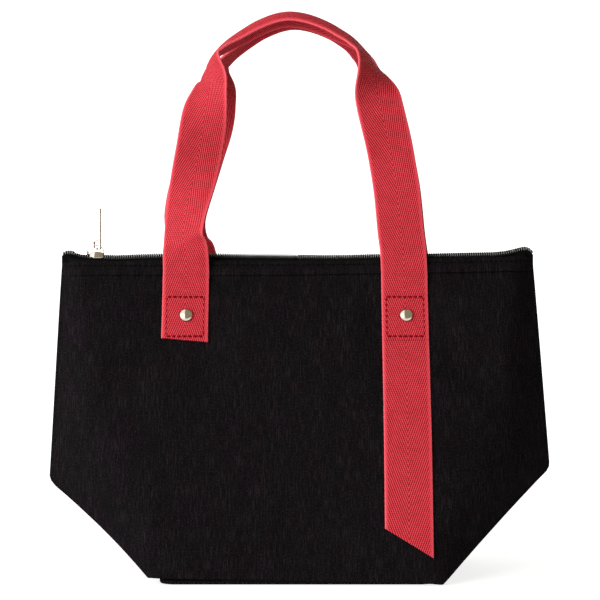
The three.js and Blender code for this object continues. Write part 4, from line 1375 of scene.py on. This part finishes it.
def slider():
    d = sliderCut
    points, faces, rings = [], [], []
    for k in range(d["steps"] + 1):
        t = 2 * k / d["steps"] - 1
        nose = d["noseIn"] * smooth((-t - d["noseFrom"]) / (1 - d["noseFrom"]))
        tail = d["tailIn"] * smooth((t - d["tailFrom"]) / (1 - d["tailFrom"]))
        w = d["wide"] * (1 - nose - tail)
        top = d["top"] - d["crown"] * t * t
        skins = []
        for inset in (0.0, d["sheet"]):
            half, high, r = w - inset, top - inset, d["round"] - inset * d["innerBend"]
            side = [(-half, d["low"])]
            for q in range(d["cornerSteps"] + 1):
                angle = math.pi - math.pi / 2 * q / d["cornerSteps"]
                side.append((-half + r + r * math.cos(angle), high - r + r * math.sin(angle)))
            skins.append(side + [(-y, z) for y, z in reversed(side)])
        loop = skins[0] + skins[1][::-1]
        rings.append(numbered(points, [(d["middle"] + d["half"] * t, y, z) for y, z in loop]))
    skinRings(faces, rings, ends=())
    count = len(rings[0]) // 2
    for ring in (rings[0], rings[-1]):
        strip(faces, ring[:count], ring[count:][::-1])
    rows = curveThrough(d["bail"], d["bailSpan"])
    wires = []
    for k, (x, z) in enumerate(rows):
        a, b = rows[max(k - 1, 0)], rows[min(k + 1, len(rows) - 1)]
        size = math.hypot(b[0] - a[0], b[1] - a[1])
        outX, outZ = -(b[1] - a[1]) / size, (b[0] - a[0]) / size
        ring = []
        for q in range(d["bailSides"]):
            angle = 2 * math.pi * q / d["bailSides"]
            lift = d["bailSheet"] * math.sin(angle)
            ring.append((d["middle"] + x + outX * lift, d["bailHalf"] * math.cos(angle), z + outZ * lift))
        wires.append(numbered(points, ring))
    skinRings(faces, wires)
    obj = addPiece("zipSlider", points, faces, nickel)
    softenEdges(obj, d["bevel"])
    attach(obj, "slider")
    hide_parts("zip_slider")


slider()

# Pull: a flat plate that stands turned to the left, slanted at its top, with a slot for the bail
pullCut = {"middle": -131.75, "turn": 40.0, "half": 4.25, "thick": 1.2, "low": 209.7, "leftTop": 232.9,
           "rightTop": 236.9, "corner": 1.1, "slotLeft": -3.3, "slotRight": 3.1, "slotLow": 210.8,
           "slotLeftTop": 214.6, "slotRightTop": 216.4, "slotCorner": 0.7, "bevel": 0.35}


def roundCorners(corners, radius, steps=5):
    loop = []
    for k, corner in enumerate(corners):
        here = Vector(corner)
        before = (Vector(corners[k - 1]) - here).normalized() * radius
        after = (Vector(corners[(k + 1) % len(corners)]) - here).normalized() * radius
        for q in range(steps + 1):
            t = q / steps
            loop.append(here + before * (1 - t) ** 2 + after * t * t)
    return loop


def pull():
    d = pullCut
    angle = math.radians(d["turn"])
    plate = roundCorners([(-d["half"], d["low"]), (d["half"], d["low"]), (d["half"], d["rightTop"]),
                          (-d["half"], d["leftTop"])], d["corner"])
    slot = roundCorners([(d["slotLeft"], d["slotLow"]), (d["slotRight"], d["slotLow"]),
                         (d["slotRight"], d["slotRightTop"]), (d["slotLeft"], d["slotLeftTop"])],
                        d["slotCorner"])
    points, faces, loops = [], [], []
    for side in (-1, 1):
        for loop in (plate, slot):
            deep = side * d["thick"] / 2
            loops.append(numbered(points, [(
                d["middle"] + w * math.sin(angle) + deep * math.cos(angle),
                -w * math.cos(angle) + deep * math.sin(angle), z) for w, z in loop]))
    frontPlate, frontSlot, backPlate, backSlot = loops
    for a, b in ((frontPlate, frontSlot), (backPlate, backSlot), (frontPlate, backPlate),
                 (frontSlot, backSlot)):
        strip(faces, a, b, closed=True)
    obj = addPiece("zipPull", points, faces, nickel, soft=False)
    softenEdges(obj, d["bevel"])
    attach(obj, "pull")
    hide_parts("zip_pull")


pull()

# Top stops: a slightly turned strip of metal pressed on the end of each coil row
stopCut = {"left": -146.6, "right": -138.0, "leftHigh": 209.8, "rightHigh": 208.7, "low": 206.0, "y": 2.3,
           "thick": 0.8, "turn": 0.8, "corner": 0.7, "footRise": 1.0, "bevel": 0.2}


def topStop(wall):
    d = stopCut
    loop = roundCorners([(d["left"], d["low"] + d["footRise"]), (d["right"], d["low"]),
                         (d["right"], d["rightHigh"]), (d["left"], d["leftHigh"])], d["corner"])
    points, faces, rings = [], [], []
    for deep in (-1, 1):
        ring = []
        for x, z in loop:
            turned = d["turn"] * (2 * (x - d["left"]) / (d["right"] - d["left"]) - 1)
            ring.append((x, wall * (d["y"] + turned + deep * d["thick"] / 2), z))
        rings.append(numbered(points, ring))
    skinRings(faces, rings)
    obj = addPiece(wallNames[wall] + "TopStop", points, faces, nickel, soft=False)
    softenEdges(obj, d["bevel"])
    wallBlend(obj)
    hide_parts(wallNames[wall] + "_zip_stop")


for wall in (-1, 1):
    topStop(wall)
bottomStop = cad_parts["zip_bottom_stop"]  # keeps its CAD form, pressed into the coil
bottomStop.data.materials[0] = nickel
softenEdges(bottomStop, stopCut["bevel"])
print("zip metal made")
